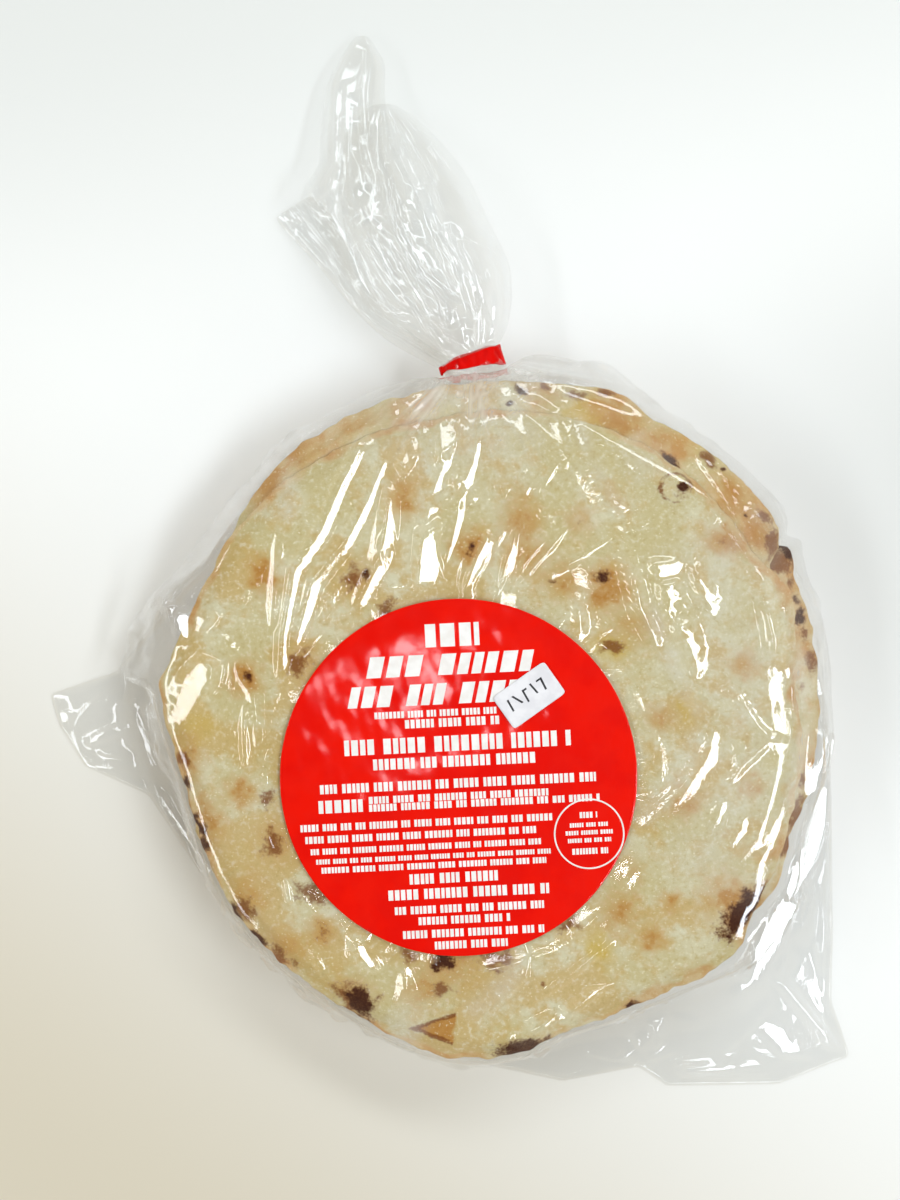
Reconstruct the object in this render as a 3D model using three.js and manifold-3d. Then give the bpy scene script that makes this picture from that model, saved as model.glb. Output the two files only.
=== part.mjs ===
// A pack of ten lahmacuns: a stack of round flatbreads, pale underside up, in a clear bag that is
// gathered and tied with red tape. The pack lies flat. Millimetres, +Z up, the tail of the bag
// towards +Y. The shapes are worked out round the middle of the top bread, and the finished group
// is moved so that its origin is the middle of the whole pack's base.
import * as THREE from 'three';
import { mergeVertices } from 'three/addons/utils/BufferGeometryUtils.js';
import Module from 'manifold-3d';

// ---- driving dimensions ----
const breadCount = 10;
const breadPitch = 4.6;                       // one bread and its share of air
const stackHeight = breadCount * breadPitch;  // 46
const floorGap = 0.3;                         // clear space between pieces that touch

// the circles that the upper breads fill, seen from above
const topBread = { x: 0, y: 0, radius: 92 };
const secondBread = { x: 7, y: 8.5, radius: 94 };
const thirdBread = { x: 8, y: -2, radius: 92.5 };

const film = {
  slack: 4.5,            // how far the film stands off the breads at mid height
  tuck: 2,               // and how much of that it draws in again at the floor
  flapThickness: 1.6,    // two layers of film with a little air
  girthHeight: 24,
  pleatDepth: 0.8,
};
// the loose fold of film that rises beside the neck
const shoulderFold = { angle: 78, width: 9, depth: 5 };

// corners of the film that lies flat on the floor outside the stack
const leftWing = [[-90, 45], [-114, 16], [-135, 9], [-132, -1], [-124, -14], [-104, -23], [-86, -50]];
const cornerFlap = [
  [8, -96], [27, -113], [51, -109], [60, -115], [95, -114.5], [118, -105.5],
  [112, -88], [112.5, -71], [112, -24], [111, 3], [104, 30],
];

const label = { x: -6.1, y: -12, radius: 50.8, thickness: 0.4 };
const priceSticker = { x: 13.9, y: 11.4, length: 18, width: 11, thickness: 0.2, turn: 35.4, corner: 0.8 };

// the tape round the neck: an oval band, wider at its right end
const tape = {
  x: -2.2, y: 109.2, z: 25.6,
  turn: 15,                     // degrees that the band climbs to the right
  halfLength: 9.2, halfHeight: 5.7, thickness: 0.6,
  upperEdge: 1.8, lowerEdge: -2.1, flare: 1.1,
};

// left and right edge of the tail from the neck to its tip, with the height of its middle
// and how thick it is there
const tailStations = [
  { left: [-17, 114], right: [9.2, 120], z: 23, thickness: 14 },
  { left: [-33, 125], right: [10.4, 132], z: 20, thickness: 20 },
  { left: [-47, 141], right: [8, 143], z: 17, thickness: 24 },
  { left: [-61, 157], right: [2, 157], z: 14, thickness: 25 },
  { left: [-52, 170], right: [-4.5, 170], z: 11.5, thickness: 22 },
  { left: [-49, 183], right: [-16, 184], z: 9, thickness: 17 },
  { left: [-47.5, 198], right: [-28.5, 197], z: 5.5, thickness: 10 },
  { left: [-43.5, 208], right: [-29.5, 208], z: 3.5, thickness: 6 },
  { left: [-38.5, 214.5], right: [-33.5, 214.5], z: 2, thickness: 3 },
];
const tail = { stepsBetween: 4, sides: 28, ridgeDepth: 0.16, ridges: 7 };

const sectorStep = 3;           // degrees between the body's radial lines
const degrees = Math.PI / 180;

// ---- helpers ----
const wasm = await Module();
wasm.setup();

// A closed surface through rings of equal length, each end shut by a fan to its middle point.
// The rings run anticlockwise as seen from the end towards which they advance.
function loftGeometry(rings, startPoint, endPoint) {
  const sides = rings[0].length;
  const points = [startPoint, ...rings.flat(), endPoint];
  const index = [];
  const at = (ring, side) => 1 + ring * sides + (side % sides);
  const last = points.length - 1;
  for (let side = 0; side < sides; side++) {
    index.push(0, at(0, side + 1), at(0, side));
    for (let ring = 0; ring + 1 < rings.length; ring++) {
      index.push(at(ring, side), at(ring, side + 1), at(ring + 1, side + 1));
      index.push(at(ring, side), at(ring + 1, side + 1), at(ring + 1, side));
    }
    index.push(last, at(rings.length - 1, side), at(rings.length - 1, side + 1));
  }
  const geometry = new THREE.BufferGeometry();
  geometry.setAttribute('position', new THREE.Float32BufferAttribute(points.flatMap((p) => p.toArray()), 3));
  geometry.setIndex(index);
  return geometry;
}

function toSolid(geometry) {
  const bare = geometry.clone();
  bare.deleteAttribute('normal');
  bare.deleteAttribute('uv');
  const merged = mergeVertices(bare, 1e-4);
  return new wasm.Manifold(new wasm.Mesh({
    numProp: 3,
    vertProperties: new Float32Array(merged.attributes.position.array),
    triVerts: new Uint32Array(merged.index.array),
  }));
}

function toGeometry(solid) {
  const mesh = solid.getMesh();
  const geometry = new THREE.BufferGeometry();
  geometry.setAttribute('position', new THREE.BufferAttribute(mesh.vertProperties, 3));
  geometry.setIndex(new THREE.BufferAttribute(mesh.triVerts, 1));
  geometry.computeVertexNormals();
  return geometry;
}

function namedMesh(name, geometry, colour, roughness) {
  const mesh = new THREE.Mesh(geometry, new THREE.MeshStandardMaterial({ color: colour, roughness, metalness: 0 }));
  mesh.name = name;
  return mesh;
}

// ---- outlines as distances from the middle of the top bread ----

// distance to the edge of a circle that holds the middle, along one direction
function reachOfCircle(circle, angle) {
  const along = circle.x * Math.cos(angle) + circle.y * Math.sin(angle);
  const across = circle.y * Math.cos(angle) - circle.x * Math.sin(angle);
  return along + Math.sqrt(circle.radius ** 2 - across ** 2);
}

// distance to an open chain of corners along one direction, or 0 where the chain isn't met
function reachOfCorners(corners, angle) {
  let reach = 0;
  for (let i = 0; i + 1 < corners.length; i++) {
    const [ax, ay] = corners[i];
    const [bx, by] = corners[i + 1];
    const sideA = Math.cos(angle) * ay - Math.sin(angle) * ax;
    const sideB = Math.cos(angle) * by - Math.sin(angle) * bx;
    if (sideA * sideB > 0 || sideA === sideB) continue;
    const share = sideA / (sideA - sideB);
    reach = Math.max(reach, Math.cos(angle) * (ax + share * (bx - ax)) + Math.sin(angle) * (ay + share * (by - ay)));
  }
  return reach;
}

function outlinesAt(angle) {
  const fromFold = ((angle / degrees - shoulderFold.angle + 540) % 360) - 180;
  const fold = shoulderFold.depth * Math.exp(-((fromFold / shoulderFold.width) ** 2));
  const pleat = film.pleatDepth * (0.6 * Math.cos(17 * angle + 1) + 0.4 * Math.cos(29 * angle + 2));
  const rim = reachOfCircle(topBread, angle);
  const ledge = Math.max(rim + 1.5, reachOfCircle(secondBread, angle), reachOfCircle(thirdBread, angle));
  const girth = ledge + film.slack + fold + pleat;
  const flaps = Math.max(reachOfCorners(leftWing, angle), reachOfCorners(cornerFlap, angle));
  return { rim, ledge, girth, foot: Math.max(girth - film.tuck, flaps) };
}

// regular directions, with those of the film's own corners in place of the nearest
function sectorAngles() {
  const corners = [...leftWing, ...cornerFlap].map(([x, y]) => (Math.atan2(y, x) / degrees + 360) % 360);
  const regular = [];
  for (let angle = 0; angle < 360; angle += sectorStep) {
    const apart = corners.map((corner) => Math.abs(((angle - corner + 540) % 360) - 180));
    if (Math.min(...apart) > sectorStep / 2) regular.push(angle);
  }
  return [...regular, ...corners].sort((a, b) => a - b).map((angle) => angle * degrees);
}

// ---- pieces ----

// The filled part of the bag: flat over the stack, round at its rim, a step down to the second
// and third bread, out to the film's girth, and down to the floor or out to a flat flap.
function bodySolid() {
  const profile = ({ rim, ledge, girth, foot }) => {
    const spread = foot - girth;
    return [
      [rim * 0.3, stackHeight],
      [rim * 0.6, stackHeight],
      [rim * 0.8, stackHeight],
      [rim - 8, stackHeight - 0.3],
      [rim - 3, stackHeight - 1.2],
      [rim, stackHeight - 3.2],
      [ledge - 2, stackHeight - 5],
      [ledge, stackHeight - 8],
      [ledge + 0.7 * (girth - ledge), stackHeight - 14],
      [girth, film.girthHeight],
      [girth + 0.2 * spread, 13],
      [girth + 0.5 * spread, 6],
      [girth + 0.8 * spread, 2.6],
      [foot, film.flapThickness],
      [foot - 1, 0],
      [foot * 0.6, 0],
    ];
  };
  const sections = sectorAngles().map((angle) => ({ angle, steps: profile(outlinesAt(angle)) }));
  const rings = sections[0].steps.map((unused, level) => sections.map(({ angle, steps }) => {
    const [radius, height] = steps[level];
    return new THREE.Vector3(radius * Math.cos(angle), radius * Math.sin(angle), height);
  }));
  rings.reverse();
  return toSolid(loftGeometry(rings, new THREE.Vector3(0, 0, 0), new THREE.Vector3(0, 0, stackHeight)));
}

const alongBand = new THREE.Vector3(Math.cos(tape.turn * degrees), Math.sin(tape.turn * degrees), 0);
const alongNeck = new THREE.Vector3(-alongBand.y, alongBand.x, 0);
const neckMiddle = new THREE.Vector3(tape.x, tape.y, tape.z);
const up = new THREE.Vector3(0, 0, 1);

// a point on the neck's oval: turn round the neck, half sizes and place along it
function neckPoint(turn, halfLength, halfHeight, along) {
  return neckMiddle.clone()
    .addScaledVector(alongBand, halfLength * Math.cos(turn))
    .addScaledVector(up, halfHeight * Math.sin(turn))
    .addScaledVector(alongNeck, along);
}

// The oval band of tape, grown all round by a clearance when it serves as a cutter.
function tapeGeometry(clearance) {
  const sides = 40;
  const corners = [];
  for (let side = 0; side < sides; side++) {
    const turn = (side / sides) * 2 * Math.PI;
    const lower = tape.lowerEdge - tape.flare * Math.cos(turn) - clearance;
    const upper = tape.upperEdge + tape.flare * Math.cos(turn) + clearance;
    const inner = -clearance;
    const outer = tape.thickness + clearance;
    corners.push([[inner, lower], [outer, lower], [outer, upper], [inner, upper]]
      .map(([grow, along]) => neckPoint(turn, tape.halfLength + grow, tape.halfHeight + grow, along)));
  }
  const index = [];
  for (let side = 0; side < sides; side++) {
    for (let corner = 0; corner < 4; corner++) {
      const a = side * 4 + corner;
      const b = side * 4 + (corner + 1) % 4;
      const c = ((side + 1) % sides) * 4 + (corner + 1) % 4;
      const d = ((side + 1) % sides) * 4 + corner;
      index.push(a, b, c, a, c, d);
    }
  }
  const geometry = new THREE.BufferGeometry();
  const points = corners.flat().flatMap((point) => point.toArray());
  geometry.setAttribute('position', new THREE.Float32BufferAttribute(points, 3));
  geometry.setIndex(index);
  geometry.computeVertexNormals();
  return geometry;
}

// The gathered neck from inside the body, through the tape, and out into the leaf-shaped tail
// of crumpled film, which comes down to the floor towards its tip.
function neckAndTailSolid() {
  const throat = [
    { along: -16, halfLength: 26, halfHeight: 13 },
    { along: -9, halfLength: 15, halfHeight: 9 },
    { along: -4.2, halfLength: 9.6, halfHeight: 6 },
    { along: -3, halfLength: tape.halfLength - floorGap - 0.2, halfHeight: tape.halfHeight - floorGap - 0.2 },
    { along: 3.2, halfLength: tape.halfLength - floorGap - 0.2, halfHeight: tape.halfHeight - floorGap - 0.2 },
  ];
  const ringTurns = Array.from({ length: tail.sides }, (unused, side) => (side / tail.sides) * 2 * Math.PI);
  const rings = throat.map(({ along, halfLength, halfHeight }) =>
    ringTurns.map((turn) => neckPoint(-turn, halfLength, halfHeight, along)));

  const neckEnd = throat[throat.length - 1];
  const first = {
    left: neckPoint(Math.PI, neckEnd.halfLength, 0, neckEnd.along),
    right: neckPoint(0, neckEnd.halfLength, 0, neckEnd.along),
    thickness: 2 * neckEnd.halfHeight,
  };
  const stations = [first, ...tailStations.map(({ left, right, z, thickness }) => ({
    left: new THREE.Vector3(left[0], left[1], z),
    right: new THREE.Vector3(right[0], right[1], z),
    thickness,
  }))];
  const leftEdge = new THREE.CatmullRomCurve3(stations.map((station) => station.left));
  const rightEdge = new THREE.CatmullRomCurve3(stations.map((station) => station.right));
  const steps = (stations.length - 1) * tail.stepsBetween;
  for (let step = 1; step <= steps; step++) {
    const place = step / tail.stepsBetween;
    const before = stations[Math.min(Math.floor(place), stations.length - 2)];
    const after = stations[Math.min(Math.floor(place) + 1, stations.length - 1)];
    const share = place - Math.min(Math.floor(place), stations.length - 2);
    const thickness = before.thickness + share * (after.thickness - before.thickness);
    const left = leftEdge.getPoint(step / steps);
    const right = rightEdge.getPoint(step / steps);
    const middle = left.clone().add(right).multiplyScalar(0.5);
    const half = right.clone().sub(left).multiplyScalar(0.5);
    rings.push(ringTurns.map((turn) => {
      const ridge = 1 + tail.ridgeDepth * Math.cos(tail.ridges * turn + 0.7 * place);
      const rise = -0.5 * thickness * Math.sin(turn) * ridge;
      const point = middle.clone().addScaledVector(half, Math.cos(turn)).addScaledVector(up, rise);
      point.z = Math.max(point.z, 0);
      return point;
    }));
  }
  const tip = rings[rings.length - 1];
  const end = tip.reduce((sum, point) => sum.add(point), new THREE.Vector3()).multiplyScalar(1 / tip.length);
  return toSolid(loftGeometry(rings, neckPoint(0, 0, 0, throat[0].along), end));
}

function bagGeometry() {
  const joined = bodySolid().add(neckAndTailSolid());
  return toGeometry(joined.subtract(toSolid(tapeGeometry(floorGap))));
}

function labelGeometry() {
  const disc = new THREE.CylinderGeometry(label.radius, label.radius, label.thickness, 96);
  disc.rotateX(Math.PI / 2);
  disc.translate(label.x, label.y, stackHeight + floorGap + label.thickness / 2);
  return disc;
}

// a rectangle with round corners, flat on the label
function stickerGeometry() {
  const { length, width, corner, thickness } = priceSticker;
  const outline = new THREE.Shape();
  const right = length / 2 - corner;
  const top = width / 2 - corner;
  outline.absarc(right, top, corner, 0, Math.PI / 2);
  outline.absarc(-right, top, corner, Math.PI / 2, Math.PI);
  outline.absarc(-right, -top, corner, Math.PI, 1.5 * Math.PI);
  outline.absarc(right, -top, corner, 1.5 * Math.PI, 2 * Math.PI);
  outline.closePath();
  const sheet = new THREE.ExtrudeGeometry(outline, { depth: thickness, bevelEnabled: false, curveSegments: 4 });
  sheet.rotateZ(priceSticker.turn * degrees);
  const base = stackHeight + floorGap + label.thickness + floorGap;
  sheet.translate(priceSticker.x, priceSticker.y, base);
  return sheet;
}

// ---- the pack ----
const pack = new THREE.Group();
pack.add(namedMesh('bag', bagGeometry(), 0xd2c9a0, 0.3));
pack.add(namedMesh('neck_tape', tapeGeometry(0), 0xe02a12, 0.4));
pack.add(namedMesh('label', labelGeometry(), 0xe8230a, 0.35));
pack.add(namedMesh('price_sticker', stickerGeometry(), 0xece9f0, 0.6));

const extent = new THREE.Box3().setFromObject(pack);
const middle = extent.getCenter(new THREE.Vector3());
pack.position.set(-middle.x, -middle.y, -extent.min.z);

export default pack;
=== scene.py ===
import math

import bpy
import numpy as np
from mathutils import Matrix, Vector


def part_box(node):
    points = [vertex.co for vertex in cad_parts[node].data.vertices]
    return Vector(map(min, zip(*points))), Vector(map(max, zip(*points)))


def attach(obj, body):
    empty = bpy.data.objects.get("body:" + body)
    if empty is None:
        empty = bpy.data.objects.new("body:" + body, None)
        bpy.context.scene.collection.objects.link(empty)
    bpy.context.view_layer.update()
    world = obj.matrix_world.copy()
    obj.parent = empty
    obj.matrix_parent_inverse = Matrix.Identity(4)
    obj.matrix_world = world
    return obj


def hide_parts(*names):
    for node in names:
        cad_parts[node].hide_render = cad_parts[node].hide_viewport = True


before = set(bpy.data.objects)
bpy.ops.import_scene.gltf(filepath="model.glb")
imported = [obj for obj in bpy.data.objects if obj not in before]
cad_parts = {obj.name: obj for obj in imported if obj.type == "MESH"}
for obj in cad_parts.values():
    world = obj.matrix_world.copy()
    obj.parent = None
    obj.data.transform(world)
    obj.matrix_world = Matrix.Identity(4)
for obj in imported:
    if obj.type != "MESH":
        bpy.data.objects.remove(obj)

# A pack of ten lahmacuns in a clear bag, tied with red tape and lying flat.
# Lengths are in millimetres round the middle of the top bread, at floor height, until place() turns
# them into metres in the frame.

mm = 0.001
fullTurn = 2 * math.pi
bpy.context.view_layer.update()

labelLow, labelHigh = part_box("label")
labelMiddle = np.array([-6.1, -12.0])  # the label's middle, from the middle of the top bread
stackMiddle = np.array([
    (labelLow.x + labelHigh.x) / 2 / mm - labelMiddle[0],
    (labelLow.y + labelHigh.y) / 2 / mm - labelMiddle[1],
    0.0,
])
stackTop = labelLow.z / mm - 0.3  # where the film lies on the top bread
labelRadius = (labelHigh.x - labelLow.x) / 2 / mm


def place(points):  # millimetres round the stack's middle -> metres in the frame
    return (np.asarray(points, float) + stackMiddle) * mm


def linear(red, green, blue):  # a screen colour, 0 to 255, as the linear light that shaders take
    shares = np.array([red, green, blue]) / 255
    light = np.where(shares < 0.04045, shares / 12.92, ((shares + 0.055) / 1.055) ** 2.4)
    return tuple(float(channel) for channel in light)


def waves(u, v, size, seed, count=9):
    # sum of plane waves: sum cos(2 pi (u cos a + v sin a) / s + p) over random a, s, p, about -1 to 1
    u, v = np.broadcast_arrays(u, v)
    draw = np.random.default_rng(seed)
    total = np.zeros(u.shape)
    for _ in range(count):
        angle = draw.uniform(0, fullTurn)
        length = size * draw.uniform(0.6, 1.7)
        phase = draw.uniform(0, fullTurn)
        total += np.cos(fullTurn * (u * math.cos(angle) + v * math.sin(angle)) / length + phase)
    return total / math.sqrt(count)


def layeredWaves(u, v, layers, seed):  # waves of several (depth, size) added up
    return sum(depth * waves(u, v, size, seed + step) for step, (depth, size) in enumerate(layers))


def creases(u, v, size, seed, count=6, angles=(0, math.pi)):
    # folded film: sum of triangle waves 1 - |2 frac(t) - 1| in random directions, each bent by slow
    # waves and fading in and out along its length; flanks are flat, crests and valleys sharp
    u, v = np.broadcast_arrays(u, v)
    draw = np.random.default_rng(seed)
    bentU = u + 0.35 * size * waves(u, v, 3.2 * size, seed + 1)
    bentV = v + 0.35 * size * waves(u, v, 3.2 * size, seed + 2)
    total = np.zeros(np.shape(u))
    for line in range(count):
        angle = draw.uniform(*angles)
        length = size * draw.uniform(0.7, 2.2)
        turns = (bentU * math.cos(angle) + bentV * math.sin(angle)) / length + draw.uniform(0, 1)
        ridge = 1 - np.abs(2 * (turns - np.floor(turns)) - 1)
        fade = np.clip(0.5 + 0.8 * waves(u, v, 3.5 * size, seed + 10 + line, 5), 0, 1)
        total += ridge * fade * length / size
    return total / count


def facets(u, v, size, seed, stretch=1.0, turn=0.0):
    # crumpled sheet: random heights on a lattice of triangles, flat inside each triangle, so that
    # straight sharp creases run between them; the lattice is turned, stretched and slightly bent
    u, v = np.broadcast_arrays(u, v)
    lattice = 64
    heights = np.random.default_rng(seed).uniform(-1, 1, (lattice, lattice))
    along = (u * math.cos(turn) + v * math.sin(turn)) / stretch
    across = v * math.cos(turn) - u * math.sin(turn)
    along = (along + 0.3 * size * waves(u, v, 2.6 * size, seed + 1, 6)) / size
    across = (across + 0.3 * size * waves(u, v, 2.6 * size, seed + 2, 6)) / size
    a = along - across * 0.577
    b = across * 1.155
    i = np.floor(a).astype(int)
    j = np.floor(b).astype(int)
    fa = a - i
    fb = b - j
    corners = ((0, 0), (1, 0), (0, 1), (1, 1))
    h00, h10, h01, h11 = (heights[(i + p) % lattice, (j + q) % lattice] for p, q in corners)
    lower = h00 + fa * (h10 - h00) + fb * (h01 - h00)
    upper = h11 + (1 - fa) * (h01 - h11) + (1 - fb) * (h10 - h11)
    return np.where(fa + fb < 1, lower, upper)


def softStep(values, low, high):  # 3 t^2 - 2 t^3 between low and high
    t = np.clip((values - low) / (high - low), 0, 1)
    return t * t * (3 - 2 * t)


def turned(x, y, degrees):  # x cos a - y sin a, x sin a + y cos a
    cosine = math.cos(math.radians(degrees))
    sine = math.sin(math.radians(degrees))
    return x * cosine - y * sine, x * sine + y * cosine


def splineBetween(p0, p1, p2, p3, t):  # Catmull-Rom from p1 to p2
    bend = 2 * p0 - 5 * p1 + 4 * p2 - p3
    twist = 3 * p1 - p0 - 3 * p2 + p3
    return 0.5 * (2 * p1 + (p2 - p0) * t + bend * t ** 2 + twist * t ** 3)


def alongPath(x, y, path):
    # nearest place on a chain of points: signed distance, left positive, and share of the length
    path = np.asarray(path, float)
    legs = np.diff(path, axis=0)
    lengths = np.hypot(legs[:, 0], legs[:, 1])
    starts = np.concatenate([[0], np.cumsum(lengths)])
    best = np.full(np.shape(x), 1e9)
    side = np.zeros(np.shape(x))
    share = np.zeros(np.shape(x))
    for leg in range(len(legs)):
        alongX, alongY = legs[leg] / lengths[leg]
        dx = x - path[leg, 0]
        dy = y - path[leg, 1]
        t = np.clip(dx * alongX + dy * alongY, 0, lengths[leg])
        apart = np.hypot(dx - t * alongX, dy - t * alongY)
        nearer = apart < best
        best = np.where(nearer, apart, best)
        side = np.where(nearer, np.sign(alongX * dy - alongY * dx), side)
        share = np.where(nearer, (starts[leg] + t) / starts[-1], share)
    return best * np.where(side == 0, 1, side), share


def closedCurve(polar):
    # smooth closed outline through (degrees, millimetres): Catmull-Rom in the angle, at 720 places
    table = np.asarray(polar, float)
    angles = np.radians(table[:, 0])
    sizes = table[:, 1]
    count = len(sizes)
    want = np.linspace(0, fullTurn, 720, endpoint=False)
    closed = np.concatenate([angles, [angles[0] + fullTurn]])
    onwards = np.where(want < closed[0], want + fullTurn, want)
    span = np.clip(np.searchsorted(closed, onwards, side="right") - 1, 0, count - 1)
    t = (onwards - closed[span]) / (closed[span + 1] - closed[span])
    return want, splineBetween(*(sizes[(span + step) % count] for step in (-1, 0, 1, 2)), t)


def aroundPoint(angles, sizes, middle, want):
    # the same outline seen from another middle: its distance in each wanted direction
    x = sizes * np.cos(angles) - middle[0]
    y = sizes * np.sin(angles) - middle[1]
    turn = np.arctan2(y, x) % fullTurn
    order = np.argsort(turn)
    return np.interp(want, turn[order], np.hypot(x, y)[order], period=fullTurn)


def reachOfCircle(circle, angles):
    # distance from the stack's middle to a circle's edge: c.d + sqrt(r^2 - (c x d)^2)
    along = circle["x"] * np.cos(angles) + circle["y"] * np.sin(angles)
    across = circle["y"] * np.cos(angles) - circle["x"] * np.sin(angles)
    return along + np.sqrt(circle["radius"] ** 2 - across ** 2)


def reachOfCorners(corners, angles):
    # distance from the stack's middle to a chain of straight edges in each direction: the edge is met
    # where its ends lie on both sides of that direction; 0 where none is met
    cosine = np.cos(angles)
    sine = np.sin(angles)
    reach = np.zeros(np.shape(angles))
    for (ax, ay), (bx, by) in zip(corners[:-1], corners[1:]):
        sideA = cosine * ay - sine * ax
        sideB = cosine * by - sine * bx
        met = sideA * sideB <= 0
        share = np.where(met, sideA / np.where(sideA == sideB, 1, sideA - sideB), 0)
        distance = cosine * (ax + share * (bx - ax)) + sine * (ay + share * (by - ay))
        reach = np.where(met, np.maximum(reach, distance), reach)
    return reach


def meshPiece(name, points, faces, smooth=True):  # a new object from points in millimetres
    mesh = bpy.data.meshes.new(name)
    mesh.from_pydata(place(points).tolist(), [], faces)
    mesh.polygons.foreach_set("use_smooth", np.full(len(faces), smooth))
    mesh.update()
    piece = bpy.data.objects.new(name, mesh)
    bpy.context.scene.collection.objects.link(piece)
    return piece


def loft(name, rings, first, last, attributes=None):
    # closed surface through rings (rows, columns, 3), each end shut by a fan to its own point
    rows, columns, _ = rings.shape
    points = np.concatenate([[first], rings.reshape(-1, 3), [last]])
    column = np.arange(columns)
    following = (column + 1) % columns
    row = np.arange(rows - 1)[:, None] * columns + 1
    quads = np.stack([row + column, row + following, row + columns + following, row + columns + column], -1)
    start = np.stack([np.zeros(columns, int), following + 1, column + 1], -1)
    base = (rows - 1) * columns + 1
    end = np.stack([np.full(columns, len(points) - 1), base + column, base + following], -1)
    faces = quads.reshape(-1, 4).tolist() + start.tolist() + end.tolist()
    piece = meshPiece(name, points, faces)
    for key, values in (attributes or {}).items():
        layer = piece.data.attributes.new(key, "FLOAT", "POINT")
        flat = values.reshape(-1)
        every = np.concatenate([[flat[0]], flat, [flat[-1]]])
        layer.data.foreach_set("value", every.astype(np.float32))
    return piece


def ringMesh(name, grid):
    # surface closed both ways: columns run round, rows run round again
    rows, columns, _ = grid.shape
    row = np.arange(rows)[:, None]
    column = np.arange(columns)[None, :]
    nextRow = (row + 1) % rows
    nextColumn = (column + 1) % columns
    quads = np.stack([
        row * columns + column, row * columns + nextColumn,
        nextRow * columns + nextColumn, nextRow * columns + column,
    ], -1).reshape(-1, 4)
    return meshPiece(name, grid.reshape(-1, 3), quads.tolist())


def finished(piece, material, node=None):
    piece.data.materials.append(material)
    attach(piece, "root")
    if node:
        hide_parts(node)
    print("made", piece.name, len(piece.data.polygons), "faces")
    return piece


class Wire:  # one socket in a shader tree, with arithmetic
    def __init__(self, finish, socket):
        self.finish = finish
        self.socket = socket

    def __add__(self, other):
        return self.finish.maths("ADD", self, other)

    def __radd__(self, other):
        return self.finish.maths("ADD", other, self)

    def __sub__(self, other):
        return self.finish.maths("SUBTRACT", self, other)

    def __rsub__(self, other):
        return self.finish.maths("SUBTRACT", other, self)

    def __mul__(self, other):
        return self.finish.maths("MULTIPLY", self, other)

    def __rmul__(self, other):
        return self.finish.maths("MULTIPLY", other, self)

    def __pow__(self, other):
        return self.finish.maths("POWER", self, other)

    def __rpow__(self, other):
        return self.finish.maths("POWER", other, self)


class Finish:  # a shader tree under construction: a material's, or the room's
    def __init__(self, name, kind="materials", end="OutputMaterial"):
        self.owner = getattr(bpy.data, kind).new(name)
        self.owner.use_nodes = True
        self.tree = self.owner.node_tree
        self.tree.nodes.clear()
        self.end = end

    def node(self, kind, settings=None, inputs=None, output=0):
        made = self.tree.nodes.new("ShaderNode" + kind)
        for key, value in (settings or {}).items():
            setattr(made, key, value)
        for key, value in (inputs or {}).items():
            if isinstance(value, Wire):
                self.tree.links.new(value.socket, made.inputs[key])
            else:
                made.inputs[key].default_value = value
        return Wire(self, made.outputs[output])

    def maths(self, operation, first, second):
        return self.node("Math", {"operation": operation}, {0: first, 1: second})

    def clamped(self, value):
        return self.node("Clamp", None, {"Value": value})

    def step(self, value, low, high):  # 3 t^2 - 2 t^3 between low and high
        ends = {"Value": value, "From Min": low, "From Max": high}
        return self.node("MapRange", {"interpolation_type": "SMOOTHSTEP"}, ends)

    def blend(self, first, second, factor):  # first colour at 0, second at 1
        def colour(value):
            return value if isinstance(value, Wire) else (*value, 1)
        inputs = {0: factor, 6: colour(first), 7: colour(second)}
        return self.node("Mix", {"data_type": "RGBA"}, inputs, 2)

    def spot(self):
        return self.node("TexCoord", output="Object")

    def noise(self, where, scale, detail=2.0, roughness=0.5):
        inputs = {"Vector": where, "Scale": scale, "Detail": detail, "Roughness": roughness}
        return self.node("TexNoise", None, inputs)

    def field(self, name):
        return self.node("Attribute", {"attribute_name": name}, output="Fac")

    def bump(self, height, distance, strength=1.0):
        return self.node("Bump", None, {"Height": height, "Distance": distance, "Strength": strength})

    def surface(self, shader):
        out = self.tree.nodes.new("ShaderNode" + self.end)
        self.tree.links.new(shader.socket, out.inputs["Surface"])
        return self.owner


view = {
    "pixels": (900, 1200),
    "scale": 0.2846,          # millimetres to a pixel at the height of the label
    "stackPixel": (480, 735),  # where the middle of the top bread lies in the picture
    "distance": 420,          # from the label up to the camera
    "sensor": 36,
}


cameraAt = np.array([
    (view["pixels"][0] / 2 - view["stackPixel"][0]) * view["scale"],
    (view["stackPixel"][1] - view["pixels"][1] / 2) * view["scale"],
    stackTop + view["distance"],
])


def makeCamera():  # looks straight down; lens: sensor * distance / height of what it sees
    camera = bpy.data.cameras.new("overhead")
    camera.sensor_width = view["sensor"]
    camera.lens = view["sensor"] * view["distance"] / (view["pixels"][1] * view["scale"])
    camera.clip_start = 0.01
    rig = bpy.data.objects.new("overhead", camera)
    rig.location = place(cameraAt)
    bpy.context.scene.collection.objects.link(rig)
    bpy.context.scene.camera = rig


# from: degrees round from +X, degrees down from overhead; size: towards the pack, across
lamps = [
    {
        "name": "windowRight", "from": (-18, 27.5), "distance": 2000,
        "size": (230, 1080), "power": 16.5, "tint": (0.86, 0.93, 1.0),
    },
    {
        "name": "ceilingTop", "from": (68, 36), "distance": 1400,
        "size": (190, 1000), "power": 5.8, "tint": (0.86, 0.93, 1.0),
    },
    {
        "name": "tubeLeft", "from": (190, 40), "distance": 1500,
        "size": (140, 1200), "power": 5.5, "tint": (0.9, 0.95, 1.0),
    },
    {
        "name": "ceilingAbove", "from": (229.7, 3.5), "distance": 1500,
        "size": (95, 110), "power": 0.55, "tint": (0.92, 0.96, 1.0),
    },
]
glintLamps = lamps[:3]  # those that the folds of the film throw at the camera


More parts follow.
